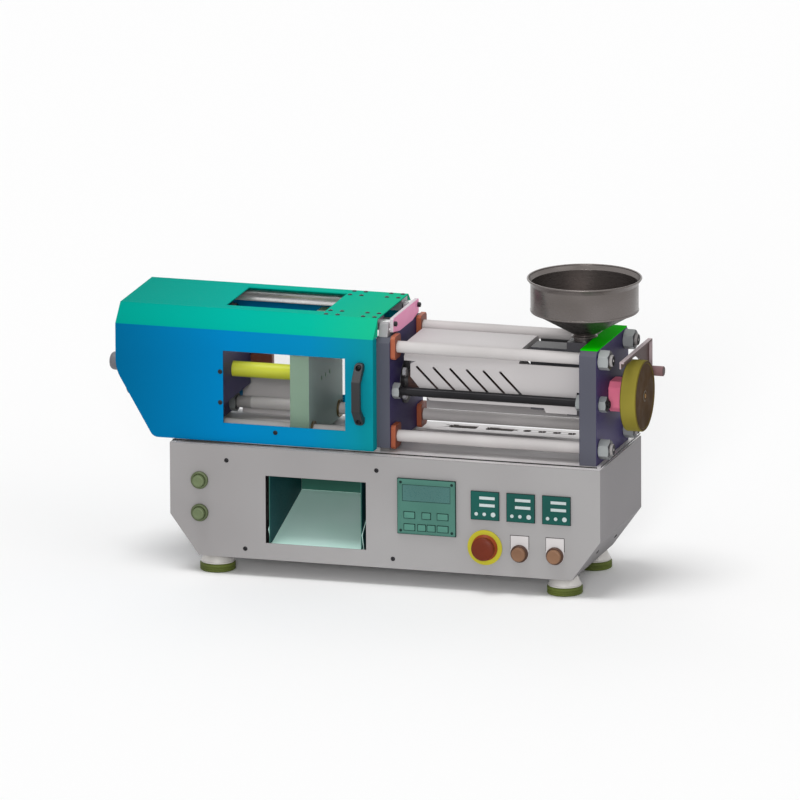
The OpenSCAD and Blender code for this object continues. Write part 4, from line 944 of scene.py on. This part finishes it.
@dataclass(frozen=True)
class HexPiece:
    """Nut or bolt head: a hexagon with its corners chamfered on one or both ends."""

    flats: float
    height: float
    bore: float = 0.0
    both_ends: bool = True
    end_share: float = 0.485
    slope: float = 0.55

    def pattern(self) -> Piece:
        """Model the hexagon on its seat, a corner upwards.

        Returns:
            The nut or head.
        """
        corner = self.flats / ROOT_3
        ring = self.flats * self.end_share
        drop = (corner - ring) * self.slope
        low, top = ring if self.both_ends else corner, self.height
        made = carve(hexagon(self.flats, 0, top, 180),
                     turned("chamfers", [(0, low + STEP), (drop, corner + 0.02),
                                         (top - drop, corner + 0.02), (top, ring)]),
                     "INTERSECT")
        if self.bore:
            r = self.bore / 2
            made = carve(made, turned("bore", [(-1, r), (top + 1, r + STEP)]))
        return made


def thread(start: float, length: float, radius: float, pitch: float) -> Rings:
    """Return the rings of a thread.

    Args:
        start: where it starts.
        length: how long it is.
        radius: outer radius.
        pitch: distance between crests.

    Returns:
        Heights and radii, crest and root by turns.
    """
    rings = []
    for i in range(int(length / pitch)):
        at = start + i * pitch
        rings += [(at, radius), (at + pitch * 0.25, radius), (at + pitch * 0.6, radius * 0.93)]
    return rings + [(start + length, radius)]


@dataclass(frozen=True)
class ThreadedBar:
    """Round bar with chamfered, threaded ends and lathe centres."""

    diameter: float
    length: float
    thread_start: float
    thread_end: float
    pitch: float = 2.0
    sides: int = 48
    edge: float = 1.4
    centre_depth: float = 2.5

    def pattern(self) -> Piece:
        """Model the bar along Z from zero.

        Returns:
            The bar.
        """
        r, length, edge = self.diameter / 2, self.length, self.edge
        rings = [(0.0, r * 0.2), (STEP, r - edge), (edge, r)]
        rings += thread(edge + 0.2, self.thread_start - edge, r, self.pitch)
        rings += thread(length - self.thread_end, self.thread_end - edge - 0.2, r, self.pitch)
        rings += [(length - edge, r), (length - STEP, r - edge), (length, r * 0.2)]
        made = turned("bar", rings, self.sides)
        for end, out in ((0.0, -1.0), (length, 1.0)):
            made = carve(made, turned("centre", [(end + out, r * 0.3), (end, r * 0.22),
                                                 (end - out * self.centre_depth, r * 0.05)],
                                      16))
        return made


def outline(name: str, node: str, width: float, proud: float, grow: float,
            sink: float) -> Piece:
    """Lay a thin rectangular frame round the front of each of a node's solids.

    Args:
        name: the piece's name.
        node: the node.
        width: width of the frame.
        proud: how far the frame stands out from its foot.
        grow: how far its outer edge lies outside the solid.
        sink: how far its foot lies behind the solid's front.

    Returns:
        The joined frames.
    """
    frames = []
    for solid in solids(node):
        made = plane(solid.size.x + 2 * grow, solid.size.z + 2 * grow)
        bpy.ops.mesh.select_mode(type="FACE")
        bpy.ops.mesh.inset(thickness=width * MM)
        bpy.ops.mesh.delete(type="FACE")
        bpy.ops.mesh.select_all(action="SELECT")
        extrude(proud)
        front = solid.at(y=0) + Vector((0, sink, 0))
        frames.append(place(close(made), Run.Y.at(front)))
    return join(name, *frames)


# ---- sub-assemblies ----


@dataclass
class Clamp:
    """Clamp end: cylinder, plates, bars and their nuts."""

    plate_edge: float = 1.2
    bar_thread: float = 94.0
    pull_rod_thread: float = 44.0
    end_thread: float = 26.0
    nut_bore: float = 20.0
    rod_bore: float = 15.0
    bolt_flats: float = 13.0
    bolt_head: float = 6.0
    socket_head: float = 5.0
    socket_head_r: float = 4.25
    socket_flats: float = 4.0
    large_nut: float = 27.0
    large_bolt: float = 12.0
    tie_rod: float = 8.0
    cap_t: float = 5.5
    cap_r: float = 57.0
    body_r: float = 40.0
    body_l: float = 13.0
    body_edge: float = 1.5
    boss_r: float = 15.5
    boss_round: float = 8.0

    def plates(self) -> None:
        """Soften the edges of the plates and dress the cylinder."""
        dress(tail_platen=[PLATE_ENAMEL, self.plate_edge], cylinder_head=[PLATE_ENAMEL, 1.5],
              moving_platen=[MOVING_ENAMEL, self.plate_edge],
              fixed_platen=[PLATE_ENAMEL, self.plate_edge],
              end_plate=[PLATE_ENAMEL, self.plate_edge], end_plate_cap=[CAP_ENAMEL, 0.5],
              bar_keepers=[KEEPER_ENAMEL, 1.0], cylinder_tube=[CYLINDER_TUBE],
              clamp_rod=[ROD_CHROMATE], platen_bushes=[BRONZE])

    def rear_cap(self) -> None:
        """Model the cylinder's rear cap: a thin flange, a round body and a domed boss."""
        cap = box("cylinder_rear_cap")
        out = facing(cap.at(x=1), (-1, 0, 0))
        flange = slab("flange", (cap.high.x - self.cap_t, *cap.low.yz), cap.high, 1.0)
        disc = turned("round", [(-1, self.cap_r), (self.cap_t + 1, self.cap_r + 0.01)], 96)
        flange = carve(flange, place(disc, out), "INTERSECT")
        length, body, boss = cap.size.x, self.body_r, self.boss_r
        edge, end = self.body_edge, self.body_l + self.body_edge
        rings = [(0.5, body), (self.body_l, body), (end, body - edge), (end + STEP, boss + 2),
                 (end + 2.5, boss), *rounded(length, boss, self.boss_round, (0, 20, 40, 60, 75)),
                 (length, 2)]
        settle(join("cylinder_rear_cap-domed", flange, place(turned("body", rings, 96), out)),
               CAST_CAP, "cylinder_rear_cap")

    def bars(self) -> None:
        """Model the tie bars and the pull rods with threaded ends."""
        for node, finish, threaded in (("tie_bars", BAR_CHROME, self.bar_thread),
                                       ("pull_rods", BLACK_STEEL, self.pull_rod_thread)):
            found = solids(node)
            length, _, diameter = found[0].size
            bar = ThreadedBar(diameter, length, threaded, self.end_thread)
            fit(f"{node}-threaded", bar.pattern(), Run.X.on(*found), finish, node)

    def nuts(self) -> None:
        """Model every hexagon nut in its size."""
        made = []
        for found in alike("hex_nuts"):
            height, flats, _ = (round(side, 1) for side in found[0].size)
            bore = self.nut_bore if flats > self.large_nut else self.rod_bore
            made.append(repeat(HexPiece(flats, height, bore).pattern(), "nuts",
                               Run.X.on(*found)))
        settle(join("hex_nuts-chamfered", *made), NUT_ZINC, "hex_nuts")

    def tie_rods(self) -> None:
        """Model the cylinder's long tie rods, screwed into the rear cap."""
        found = solids("cylinder_tie_rods")
        seat = box("cylinder_rear_cap").high.x - self.cap_t - 0.3
        rod = ThreadedBar(self.tie_rod, found[0].high.x - seat, 8.0, 6.0, 1.25, 24)
        places = [Run.X.at((seat, *s.at().yz)) for s in found]
        fit("cylinder_tie_rods-threaded", rod.pattern(), places, ZINC_STEEL,
            "cylinder_tie_rods")

    def bolts(self) -> None:
        """Model the bright flange bolts and the black socket screws of the cross plate."""
        top, r = self.socket_head, self.socket_head_r
        cap = turned("cap", [(0, r), (top - 0.8, r), (top, r - 0.65)], 32)
        cap = carve(cap, hexagon(self.socket_flats, top - 3, top + 1))
        bolt = HexPiece(self.bolt_flats, self.bolt_head, 0, False).pattern()
        for name, pattern, finish, height, large in (
                ("flange-bolt-heads", bolt, BRIGHT_ZINC, self.bolt_head, True),
                ("cross-plate-screws", cap, BLACK_FASTENER, top, False)):
            places = [Run.X.at(s.at(x=1) - Vector((height, 0, 0)))
                      for s in solids("frame_bolts") if (s.size.z > self.large_bolt) == large]
            fit(name, pattern, places, finish, "frame_bolts")

    def build(self) -> None:
        """Build the clamp end."""
        self.plates()
        self.rear_cap()
        self.bars()
        self.nuts()
        self.tie_rods()
        self.bolts()


@dataclass
class Injection:
    """Injection end: barrel, heater bands, cover, hopper and drive."""

    rim_out: float = 6.0
    sheet: float = 1.2
    neck: float = 18.0
    neck_in: float = 12.0
    foot_h: float = 10.0
    cone_h: float = 42.0
    band_bead: float = 1.2
    band_wall: float = 4.8
    terminal_h: float = 9.0
    # Size and place of the dark sheet of painted shade inside the barrel cover.
    shade_sheet_h: float = 55.0
    shade_sheet_t: float = 2.2
    shade_sheet_out: float = 6.8
    shade_sheet_in: Point = (3.0, 1.8, 9.0)
    disc_edge: float = 1.5
    disc_rim: float = 5.0
    disc_recess: float = 0.5
    disc_hub_r: float = 9.0
    bracket_t: float = 3.0
    bracket_rim: float = 8.0
    bracket_arch: float = 65.0
    pin_d: float = 17.0
    pin_l: float = 24.0
    pin_up: float = 23.0
    pin_in: float = 15.0

    def hopper(self) -> None:
        """Spin the hopper: neck, cone, wall and a rolled rim, with a welded foot."""
        hopper = box("hopper")
        r, top, t = hopper.size.x / 2, hopper.size.z, self.sheet
        wall, lip, n = r - self.rim_out, top - 4.6, self.neck
        base = self.neck_in + self.foot_h
        cone = base + self.cone_h
        rings = [(0, n), (base - 0.8, n), (base + 1.5, n + 2.2), (cone - 3, wall - 5.2),
                 (cone - 0.8, wall - 1.4), (cone + 2, wall), (lip - self.rim_out, wall),
                 (lip - 0.5, r - 2.6), *rounded(top, r, 1.6, range(-60, 211, 30)),
                 (lip + 0.2, r - 2.6 - t), (lip - self.rim_out + t, wall - t),
                 (cone + 2, wall - t), (cone - 0.4, wall - t - 1.4),
                 (base + 1.5 + t, n - t + 2.2), (base, n - t), (0, n - t), (0, n)]
        shell = turned("shell", rings, 96)
        foot = turned("foot", [(base - 4, n), (base - 4, n + 4), (base - 2.5, n + 4),
                               (base, n), (base - 4, n)], 64)
        weld = turned("weld", [(cone - 1.6, wall + 0.1), (cone - 1.0, wall + 0.5),
                               (cone + 0.6, wall + 0.7), (cone + 1.8, wall + 0.1),
                               (cone - 1.6, wall + 0.1)], 96)
        fit("hopper-spun", join("hopper", shell, foot, weld), Run.Z.on(hopper), HOPPER_STEEL,
            "hopper")

    def band(self, solid: Solid) -> Piece:
        """Model a heater band: a beaded sheet ring with a clamping lug and terminals.

        Args:
            solid: the solid that it replaces.

        Returns:
            The band.
        """
        outer, length, bead = solid.size.y / 2, solid.size.x, self.band_bead
        mid, top = solid.at().x, solid.high.z
        axis = top - outer - self.terminal_h
        waist = outer - bead * 0.5
        rings = [(0, outer - bead), (bead / 2, outer), (bead * 1.5, outer), (bead * 2, waist),
                 (length - bead * 2, waist), (length - bead * 1.5, outer),
                 (length - bead / 2, outer), (length, outer - bead)]
        ring = place(bored("band", rings, outer - self.band_wall, 64),
                     Run.X.at((solid.low.x, 0, axis)))
        terminals = slab("terminals", (mid - 7, -6, axis + outer - 2), (mid + 7, 6, top - 2), 0.8)
        pins = repeat(turned("pin", [(0, 1.8), (2, 1.8), (2.01, 1.0), (4, 1.0)], 16), "pins",
                      [Run.Z.at((mid + side * 3.4, 0, top - 4)) for side in (-1, 1)])
        lug = slab("lug", (mid - 5, -4, axis - outer), (mid + 5, 4, axis - outer + 2), 0.6)
        return join("band", ring, terminals, pins, lug)

    def bands(self) -> None:
        """Model one heater band of each length and copy it to its places."""
        made = [repeat(self.band(found[0]), "bands",
                       [Matrix.Translation((s.low - found[0].low) * MM) for s in found])
                for found in alike("heater_bands")]
        settle(join("heater_bands-clamped", *made), HEATER_SHEET, "heater_bands")

    def shade_sheet(self) -> None:
        """Stand a dark sheet behind the feed block, inside the cover's open end: painted shade.
        """
        high = box("barrel_cover").high - Vector(self.shade_sheet_in)
        left = box("feed_block").low.x - self.shade_sheet_out
        settle(slab("feed-shade-sheet", (left, high.y - self.shade_sheet_t, high.z - self.shade_sheet_h),
                    high, 0.3), NITRIDED, "barrel_cover", False)

    def disc(self) -> None:
        """Turn the drive disc with a recessed face and a centre mark."""
        disc = box("drive_disc")
        t, r, edge = disc.size.x, disc.size.z / 2, self.disc_edge
        rim, floor, hub = r - self.disc_rim, t - self.disc_recess, self.disc_hub_r
        rings = [(0, 30), (STEP, r - edge), (edge, r), (t - edge, r), (t, r - edge),
                 (t - STEP, rim), (floor, rim - 0.5), (floor - STEP, hub), (t + 0.15, hub - 0.6),
                 (t + 0.15 + STEP, 0.5)]
        mark = bored("mark", [(t, 3.2), (t + 0.4, 3.2)], 1.7, 32)
        fit("disc", turned("turned", rings, 96), Run.X.on(disc), DISC_ENAMEL, "drive_disc")
        fit("disc-centre-ring", mark, Run.X.on(disc), MARK_BRASS, "drive_disc", False)

    def bracket(self) -> None:
        """Model the sheet bracket round the disc: a web with an arch, its rims and a pin."""
        bracket, axis = box("drive_bracket"), box("drive_disc").at()
        low, (right, back, top), t = bracket.low, bracket.high, self.bracket_t
        right -= self.pin_l
        left = right - self.bracket_rim
        web = slab("drive_bracket-rimmed", (left, *low.yz), (right, back, top), 0.8)
        for start, end in (((left + t, *low.yz), (right + 1, back - t, top - t)),
                           ((left - 1, *low.yz), (right + 1, axis.y, top - 4 * t))):
            web = carve(web, slab("inside", Vector(start) - Vector((0, 1, 1)), end, 0.3))
        arch = turned("arch", [(-1, self.bracket_arch), (12, self.bracket_arch + 0.01)], 96)
        web = carve(web, place(arch, Run.X.at((left, *axis.yz))))
        settle(web, BRACKET_COAT, "drive_bracket")
        r, length = self.pin_d / 2, self.pin_l + self.bracket_rim - t
        pin = turned("pin", [(0, r - 1), (0.5, r), (length - 1, r), (length, r - 1)])
        at = Run.X.at((left + t, back - self.pin_in, axis.z + self.pin_up))
        fit("bracket-pin", pin, [at], PIN_BROWN, "drive_bracket")

    def build(self) -> None:
        """Build the injection end."""
        dress(barrel_cover=[COVER_COAT], feed_block=[FEED_STEEL, 1.0], barrel=[NITRIDED],
              nozzle=[BRONZE], nozzle_flange=[FLANGE_STEEL],
              bearing_housing=[HOUSING_ENAMEL, 1.2], drive_bearings=[ZINC_STEEL],
              rear_panel=[COVER_COAT])
        self.hopper()
        self.bands()
        self.shade_sheet()
        self.disc()
        self.bracket()


@dataclass
class Guard:
    """The sliding guard on its rails."""

    bevel: float = 30.0
    sheet: float = 2.0
    front_flange: float = 18.5
    back_flange: float = 8.0
    slope_in: float = 12.0
    slope_up: float = 10.8

    def paint(self) -> Finish:
        """Lay the guard's enamel out from the guard's box.

        Returns:
            The enamel.
        """
        hood = box("guard_hood")
        # Painted light: the enamel's fade along the hood and its other hues on the upper faces.
        return PaintedLightEnamel("guard_painted_light_enamel", "#007cb8", "#006896", 0.72, gloss=0.02,
                          start_mm=hood.low.x, length_mm=hood.size.x,
                          bevel_z_mm=hood.high.z - self.bevel)

    def flanges(self) -> None:
        """Fold a narrow stiffening flange inwards from each side's right edge."""
        hood = box("guard_hood")
        right, low, top = hood.high.x, hood.low.z, hood.high.z
        outer, corner = hood.low.y + self.sheet, top - self.bevel
        folds = []
        for side, width in ((1, self.front_flange), (-1, self.back_flange)):
            inner = side * (outer + width)
            fold = slab("fold", (right - self.sheet, side * outer, low + 0.2),
                        (right, side * (hood.low.y + self.bevel - 2), top - 4), 0.2)
            fold = carve(fold, slab("clear", (right - 10, inner, low - 10),
                                    (right + 10, inner + side * 30, corner - 1), 0.1))
            slope = slab("slope", (-50, -60, 0), (50, 60, 60), 0.1)
            at = (right, side * (outer + self.slope_in), corner + self.slope_up)
            folds.append(carve(fold, place(slope, facing(at, (0, -side, 1)))))
        settle(join("guard-flanges", *folds), self.paint(), "guard_hood", False)

    def build(self) -> None:
        """Build the guard, its rails and its cross plate."""
        dress(guard_hood=[self.paint()])
        self.flanges()
        dress(guard_panes=[CLEAR_SHEET], guard_handle=[BLACK_PLASTIC, 1.6, 3],
              slide_rails=[RAIL_STEEL], slide_blocks=[BLOCK_STEEL],
              rail_supports=[SUPPORT_ALLOY, 1.0], rail_end_plate=[CROSS_ENAMEL, 0.8],
              interlock_switch=[SWITCH_PLASTIC, 1.2])
        ButtonScrew().on("guard_screws")


@dataclass
class Cabinet:
    """Sheet cabinet with its deck, chute, feet and cable gland."""

    pad_groove: float = 1.0
    cone_h: float = 17.0
    cone_top_r: float = 20.4
    stud_d: float = 10.0
    stud_l: float = 12.0
    stud_nut: tuple[float, float] = (17.0, 7.0)
    ramp_rise: float = 52.0
    cheek_t: float = 1.2
    cheek_in: float = 1.6
    seam: float = 2.2
    corner_bend: float = 5.0
    slot_width: float = 20.0
    slot_length: float = 48.0
    slot_y: float = 95.0
    slot_places: tuple[float, ...] = (72.0, 136.0)

    def feet(self) -> None:
        """Turn the feet's cones with their studs and nuts, and the grooved pads under them."""
        found = solids("foot_cones")
        r, h, top = found[0].size.y / 2, self.cone_h, self.cone_top_r
        cone = turned("cone", [(0, r - 0.8), (0.8, r), (2.2, r), (2.8, r - 1), (h - 1, top + 1),
                               (h, top)], 64)
        r, end = self.stud_d / 2, h + self.stud_l
        stud = turned("stud", [(h, r), (end - 1, r), (end, r - 1)], 24)
        nut = place(HexPiece(*self.stud_nut, self.stud_d).pattern(), Run.Z.at((0, 0, h + 2)))
        fit("foot_cones-turned", join("foot", cone, stud, nut), Run.Z.on(*found), CONE_ALLOY,
            "foot_cones")
        found = solids("foot_pads")
        r, h, g = found[0].size.x / 2, found[0].size.z, self.pad_groove
        rings = [(0, r - 2.5), (0.8, r - 1.2), (2, r)]
        for z in (h * 0.35, h * 0.6):
            rings += [(z - g, r), (z - g * 0.5, r - g), (z + g * 0.5, r - g), (z + g, r)]
        rings += [(h - 1.6, r), (h - 0.4, r - 1), (h, r - 2)]
        fit("foot_pads-grooved", turned("pad", rings, 64), Run.Z.on(*found), PAD_RUBBER,
            "foot_pads")

    def chute(self) -> None:
        """Soften the chute's edges, and carry its side walls up to the front sheet in painted
        shade.
        """
        dress(chute_tray=[CHUTE_ENAMEL, 0.4])
        tray = box("chute_tray")
        left, right, low = tray.low.x, tray.high.x, tray.low.z
        front, back, top = box("cabinet_shell").low.y + 2.3, tray.high.y - 15, tray.high.z - 0.5
        # Dark side walls and back wall: painted shade.
        lining = [slab("cheek", (x, front, low + 3), (x + self.cheek_t, back, top), 0.3)
                  for x in (left + self.cheek_in, right - self.cheek_in - self.cheek_t)]
        lining.append(slab("back", (left + 3, back, low + self.ramp_rise),
                           (right - 3, back + 0.8, top), 0.2))
        settle(join("chute-shade-lining", *lining), CHUTE_SHADE, "chute_tray", False)

    def deck(self) -> None:
        """Widen the deck's two wiring slots to their full width, with rounded corners."""
        piece = merged_copy("deck_plate", "deck_plate-slotted")
        start, top = box("fixed_platen").high.x, box("deck_plate").high.z
        size = Vector((self.slot_length / 2 - 0.01, self.slot_width / 2, 0))
        for place_x in self.slot_places:
            low, high = (Vector((start + place_x, self.slot_y, top + z)) for z in (-12, 4))
            piece = carve(piece, slab("slot", low - size, high + size, 4.0, 5))
        settle(piece, DECK_STEEL, "deck_plate")

    def seams(self) -> None:
        """Lay the dark sealing strip between the deck and the shell's front and right sides."""
        (left, front, _), (right, back, _) = (box("cabinet_shell").low, box("cabinet_shell").high)
        top, bend = box("deck_plate").high.z - 1.6, self.corner_bend
        foot = top - self.seam
        strips = [slab("deck-seal", (left + bend, front - 0.15, foot),
                       (right - bend, front + 0.3, top), 0.1),
                  slab("side", (right - 0.3, front + bend, foot),
                       (right + 0.15, back - bend, top), 0.1)]
        settle(join("deck-seal", *strips), LEGEND_EDGE, "cabinet_shell", False)

    def build(self) -> None:
        """Build the cabinet."""
        dress(cabinet_shell=[CABINET_COAT, 0.8], back_panel=[CABINET_COAT],
              cable_gland=[BLACK_PLASTIC])
        self.deck()
        self.seams()
        self.chute()
        self.feet()
        ButtonScrew().on("cabinet_screws")


@dataclass
class Controls:
    """Operator panel, temperature controllers and push buttons."""

    line: float = 0.9
    corner: float = 5.5
    cap_edge: float = 2.0
    cap_l: float = 7.5
    neck_r: float = 6.5
    stop_round: float = 4.0
    stop_l: float = 9.0

    def panel(self) -> None:
        """Dress the operator panel and draw the dark joints round its parts."""
        dress(hmi_bezel=[PANEL_PLASTIC], hmi_display=[DISPLAY_FILM], hmi_keys=[KEY_FILM])
        bezel, at = box("hmi_bezel"), self.corner
        (left, front, low), (right, _, top) = bezel.low, bezel.high
        for name, node, *sizes in (("hmi-border", "hmi_bezel", 1.8, 3.0, 0.9, 4.4),
                                   ("hmi-display-joint", "hmi_display", 1.6, 0.7, 0.8, 0.6),
                                   ("hmi-key-joints", "hmi_keys", 1.2, 1.0, 0.9, 1.8)):
            settle(outline(name, node, *sizes), PANEL_JOINT, "hmi_bezel", False)
        places = [Run.Y.at((x, front, z)) for x in (left + at, right - at)
                  for z in (low + at, top - at)]
        fit("hmi-corner-screws", ButtonScrew(5.0, 0.8, 2.0).pattern(), places, PANEL_JOINT,
            "hmi_bezel", False)

    def controllers(self) -> None:
        """Dress the temperature controllers and frame their faces."""
        dress(temperature_controllers=[CONTROLLER_PLASTIC, 1.0], controller_displays=[READOUT])
        settle(outline("controller-frames", "temperature_controllers", 2.0, 2.6, 0.6, 2.8),
               CONTROLLER_EDGE, "temperature_controllers", False)

    def gaskets(self) -> None:
        """Lay a dark gasket under the upper half of each legend plate."""
        edge = self.line
        made = [slab("gasket", (s.low.x - edge, s.high.y - 0.4, s.at().z),
                     s.high + Vector((edge, 0, edge)), 0.1) for s in solids("legend_plates")]
        settle(join("legend-gaskets", *made), LEGEND_EDGE, "legend_plates", False)

    def cap(self, node: str, finish: Finish) -> None:
        """Turn a push button's cap with a dished face.

        Args:
            node: the button's node.
            finish: the cap's finish.
        """
        solid = solids(node)[0]
        r, depth, e = solid.size.x / 2, solid.size.y, self.cap_edge
        foot, neck = depth - self.cap_l, self.neck_r
        rings = [(0, neck - 0.5), (foot - 0.5, neck), (foot, r), (depth - e, r),
                 (depth - e * 0.3, r - e * 0.3), (depth, r - e), (depth - STEP, r - e * 1.4),
                 (depth - 0.6, r * 0.6), (depth - 0.9, r * 0.2)]
        fit(f"{node}-dished", turned("cap", rings), Run.Y.on(solid), finish, node)

    def stop(self) -> None:
        """Turn the emergency stop's domed head and its collar."""
        solid = solids("estop_mushroom")[0]
        r, depth, e = solid.size.x / 2, solid.size.y, self.stop_round
        skirt, neck = depth - self.stop_l, self.neck_r
        turns = [math.radians(a) for a in (20, 40, 60, 80)]
        rings = [(0, neck - 0.5), (skirt, neck), (skirt + 0.01, r - 1.5), (skirt + 1.5, r),
                 (skirt + e, r),
                 *((skirt + e + e * math.sin(a), r - 5 + 5 * math.cos(a)) for a in turns),
                 (depth - 0.1, r * 0.62), (depth, r * 0.4), (depth, r * 0.1)]
        fit("estop-domed-head", turned("head", rings, 64), Run.Y.on(solid), STOP_RED,
            "estop_mushroom")
        rings = [(-3.9, r + 2.4), (-3.4, r + 2.4), (0.2, r - 1.4), (0.2, 7.4), (0, 7.4),
                 (-3.9, r + 2.0), (-3.9, r + 2.4)]
        fit("estop-collar", turned("collar", rings, 64),
            [Run.Y.at(solids("estop_ring")[0].at(y=0))], STOP_ORANGE, "estop_ring", False)

    def build(self) -> None:
        """Build the controls."""
        self.panel()
        self.controllers()
        for node, finish in (("start_button", COPPER_PLASTIC), ("stop_button", COPPER_PLASTIC),
                             ("jog_button_upper", OLIVE_PLASTIC),
                             ("jog_button_lower", OLIVE_PLASTIC)):
            self.cap(node, finish)
        dress(switch_collars=[COLLAR_COPPER], jog_collars=[COLLAR_OLIVE],
              legend_plates=[LEGEND_SHEET], estop_ring=[WARNING_YELLOW])
        self.gaskets()
        self.stop()


# ---- studio ----


@dataclass
class Studio:
    """Plain pale floor, soft light and the camera, far off so that its lines stay parallel.

    Its lengths are in metres and its angles in degrees. A lamp is given by its azimuth and
    elevation round the object, its strength, and how wide it is in the sky.
    """

    azimuth: float = 16.55
    elevation: float = 14.09
    roll: float = 0.29
    view_width: float = 1.341
    lens_mm: float = 1000.0
    sensor_mm: float = 36.0
    target: Point = (0.0445, 0.0, 0.2)
    shift_right: float = -0.00935
    shift_up: float = 0.0875
    floor_size: float = 24.0
    ambient: float = 0.42
    suns: tuple[tuple[str, float, float, float, float], ...] = (
        ("key", 12.0, 16.0, 1.1, 14.0), ("top", -40.0, 78.0, 1.35, 26.0),
        ("back", 205.0, 35.0, 0.3, 40.0), ("fill", 60.0, 30.0, 0.2, 40.0))

    def direction(self, azimuth: float, elevation: float) -> Vector:
        """Return the unit vector from the object towards a place around it."""
        a, e = math.radians(azimuth), math.radians(elevation)
        return Vector((math.sin(a) * math.cos(e), -math.cos(a) * math.cos(e), math.sin(e)))

    def add_camera(self) -> None:
        """Set the camera at its angle, so far off that the picture is as good as parallel."""
        back = self.direction(self.azimuth, self.elevation)
        level = self.direction(self.azimuth + 90, 0)
        upright = back.cross(level)
        turn = math.radians(self.roll)
        right = level * math.cos(turn) - upright * math.sin(turn)
        up = level * math.sin(turn) + upright * math.cos(turn)
        aim = Vector(self.target) + right * self.shift_right + up * self.shift_up
        distance = self.view_width * self.lens_mm / self.sensor_mm
        data = bpy.data.cameras.new("camera")
        data.lens = self.lens_mm
        data.sensor_width = self.sensor_mm
        data.clip_start = 1.0
        data.clip_end = distance * 2
        camera = bpy.data.objects.new("camera", data)
        looking = Matrix((right, up, back)).transposed().to_4x4()
        camera.matrix_world = Matrix.Translation(aim + back * distance) @ looking
        bpy.context.scene.collection.objects.link(camera)
        bpy.context.scene.camera = camera

    def add_suns(self) -> None:
        """Add the suns, which cast soft shadows."""
        for name, azimuth, elevation, strength, spread in self.suns:
            data = bpy.data.lights.new(name, "SUN")
            data.energy = strength
            data.angle = math.radians(spread)
            lamp = bpy.data.objects.new(name, data)
            way = self.direction(azimuth, elevation)
            lamp.rotation_euler = way.to_track_quat("Z", "Y").to_euler()
            bpy.context.scene.collection.objects.link(lamp)

    def add_world(self) -> None:
        """Set an even pale sky, which is white where it is seen or mirrored."""
        world = bpy.data.worlds.new("studio")
        bpy.context.scene.world = world
        world.use_nodes = True
        tree = world.node_tree
        tree.nodes.clear()
        light = add_node(tree, "ShaderNodeLightPath")
        seen = light.outputs["Is Camera Ray"]
        for ray in ("Is Glossy Ray", "Is Transmission Ray"):
            seen = add_node(tree, "ShaderNodeMath", {"operation": "MAXIMUM"},
                            {0: seen, 1: light.outputs[ray]}).outputs["Value"]
        strength = add_node(tree, "ShaderNodeMapRange", inputs={
            "Value": seen, "To Min": self.ambient, "To Max": 1.0})
        sky = add_node(tree, "ShaderNodeBackground", inputs={
            "Color": (1.0, 1.0, 1.0, 1.0), "Strength": strength.outputs["Result"]})
        add_node(tree, "ShaderNodeOutputWorld", inputs={"Surface": sky.outputs["Background"]})

    def add_floor(self) -> None:
        """Lay a plain pale floor under the feet."""
        bpy.ops.mesh.primitive_plane_add(size=self.floor_size, location=(0, 0, 0))
        floor = bpy.context.object
        floor.name = "floor"
        material = bpy.data.materials.new("floor_white")
        material.use_nodes = True
        tree = material.node_tree
        tree.nodes.clear()
        matt = add_node(tree, "ShaderNodeBsdfDiffuse", inputs={"Color": linear("#fbfbfb")})
        add_node(tree, "ShaderNodeOutputMaterial", inputs={"Surface": matt.outputs["BSDF"]})
        floor.data.materials.append(material)

    def build(self) -> None:
        """Set up camera, lamps, sky and floor."""
        self.add_camera()
        self.add_suns()
        self.add_world()
        self.add_floor()
        bpy.context.scene.view_settings.view_transform = "Standard"


def main() -> None:
    """Build the studio and every sub-assembly in order."""
    logging.basicConfig(level=logging.INFO, format="%(name)s: %(message)s")
    bpy.ops.object.select_all(action="DESELECT")
    for made in (Studio(), Clamp(), Injection(), Guard(), Cabinet(), Controls()):
        made.build()
    coat(frame["nodes"]["injection_screw"], ZINC_STEEL)


if __name__ == "__main__":
    main()
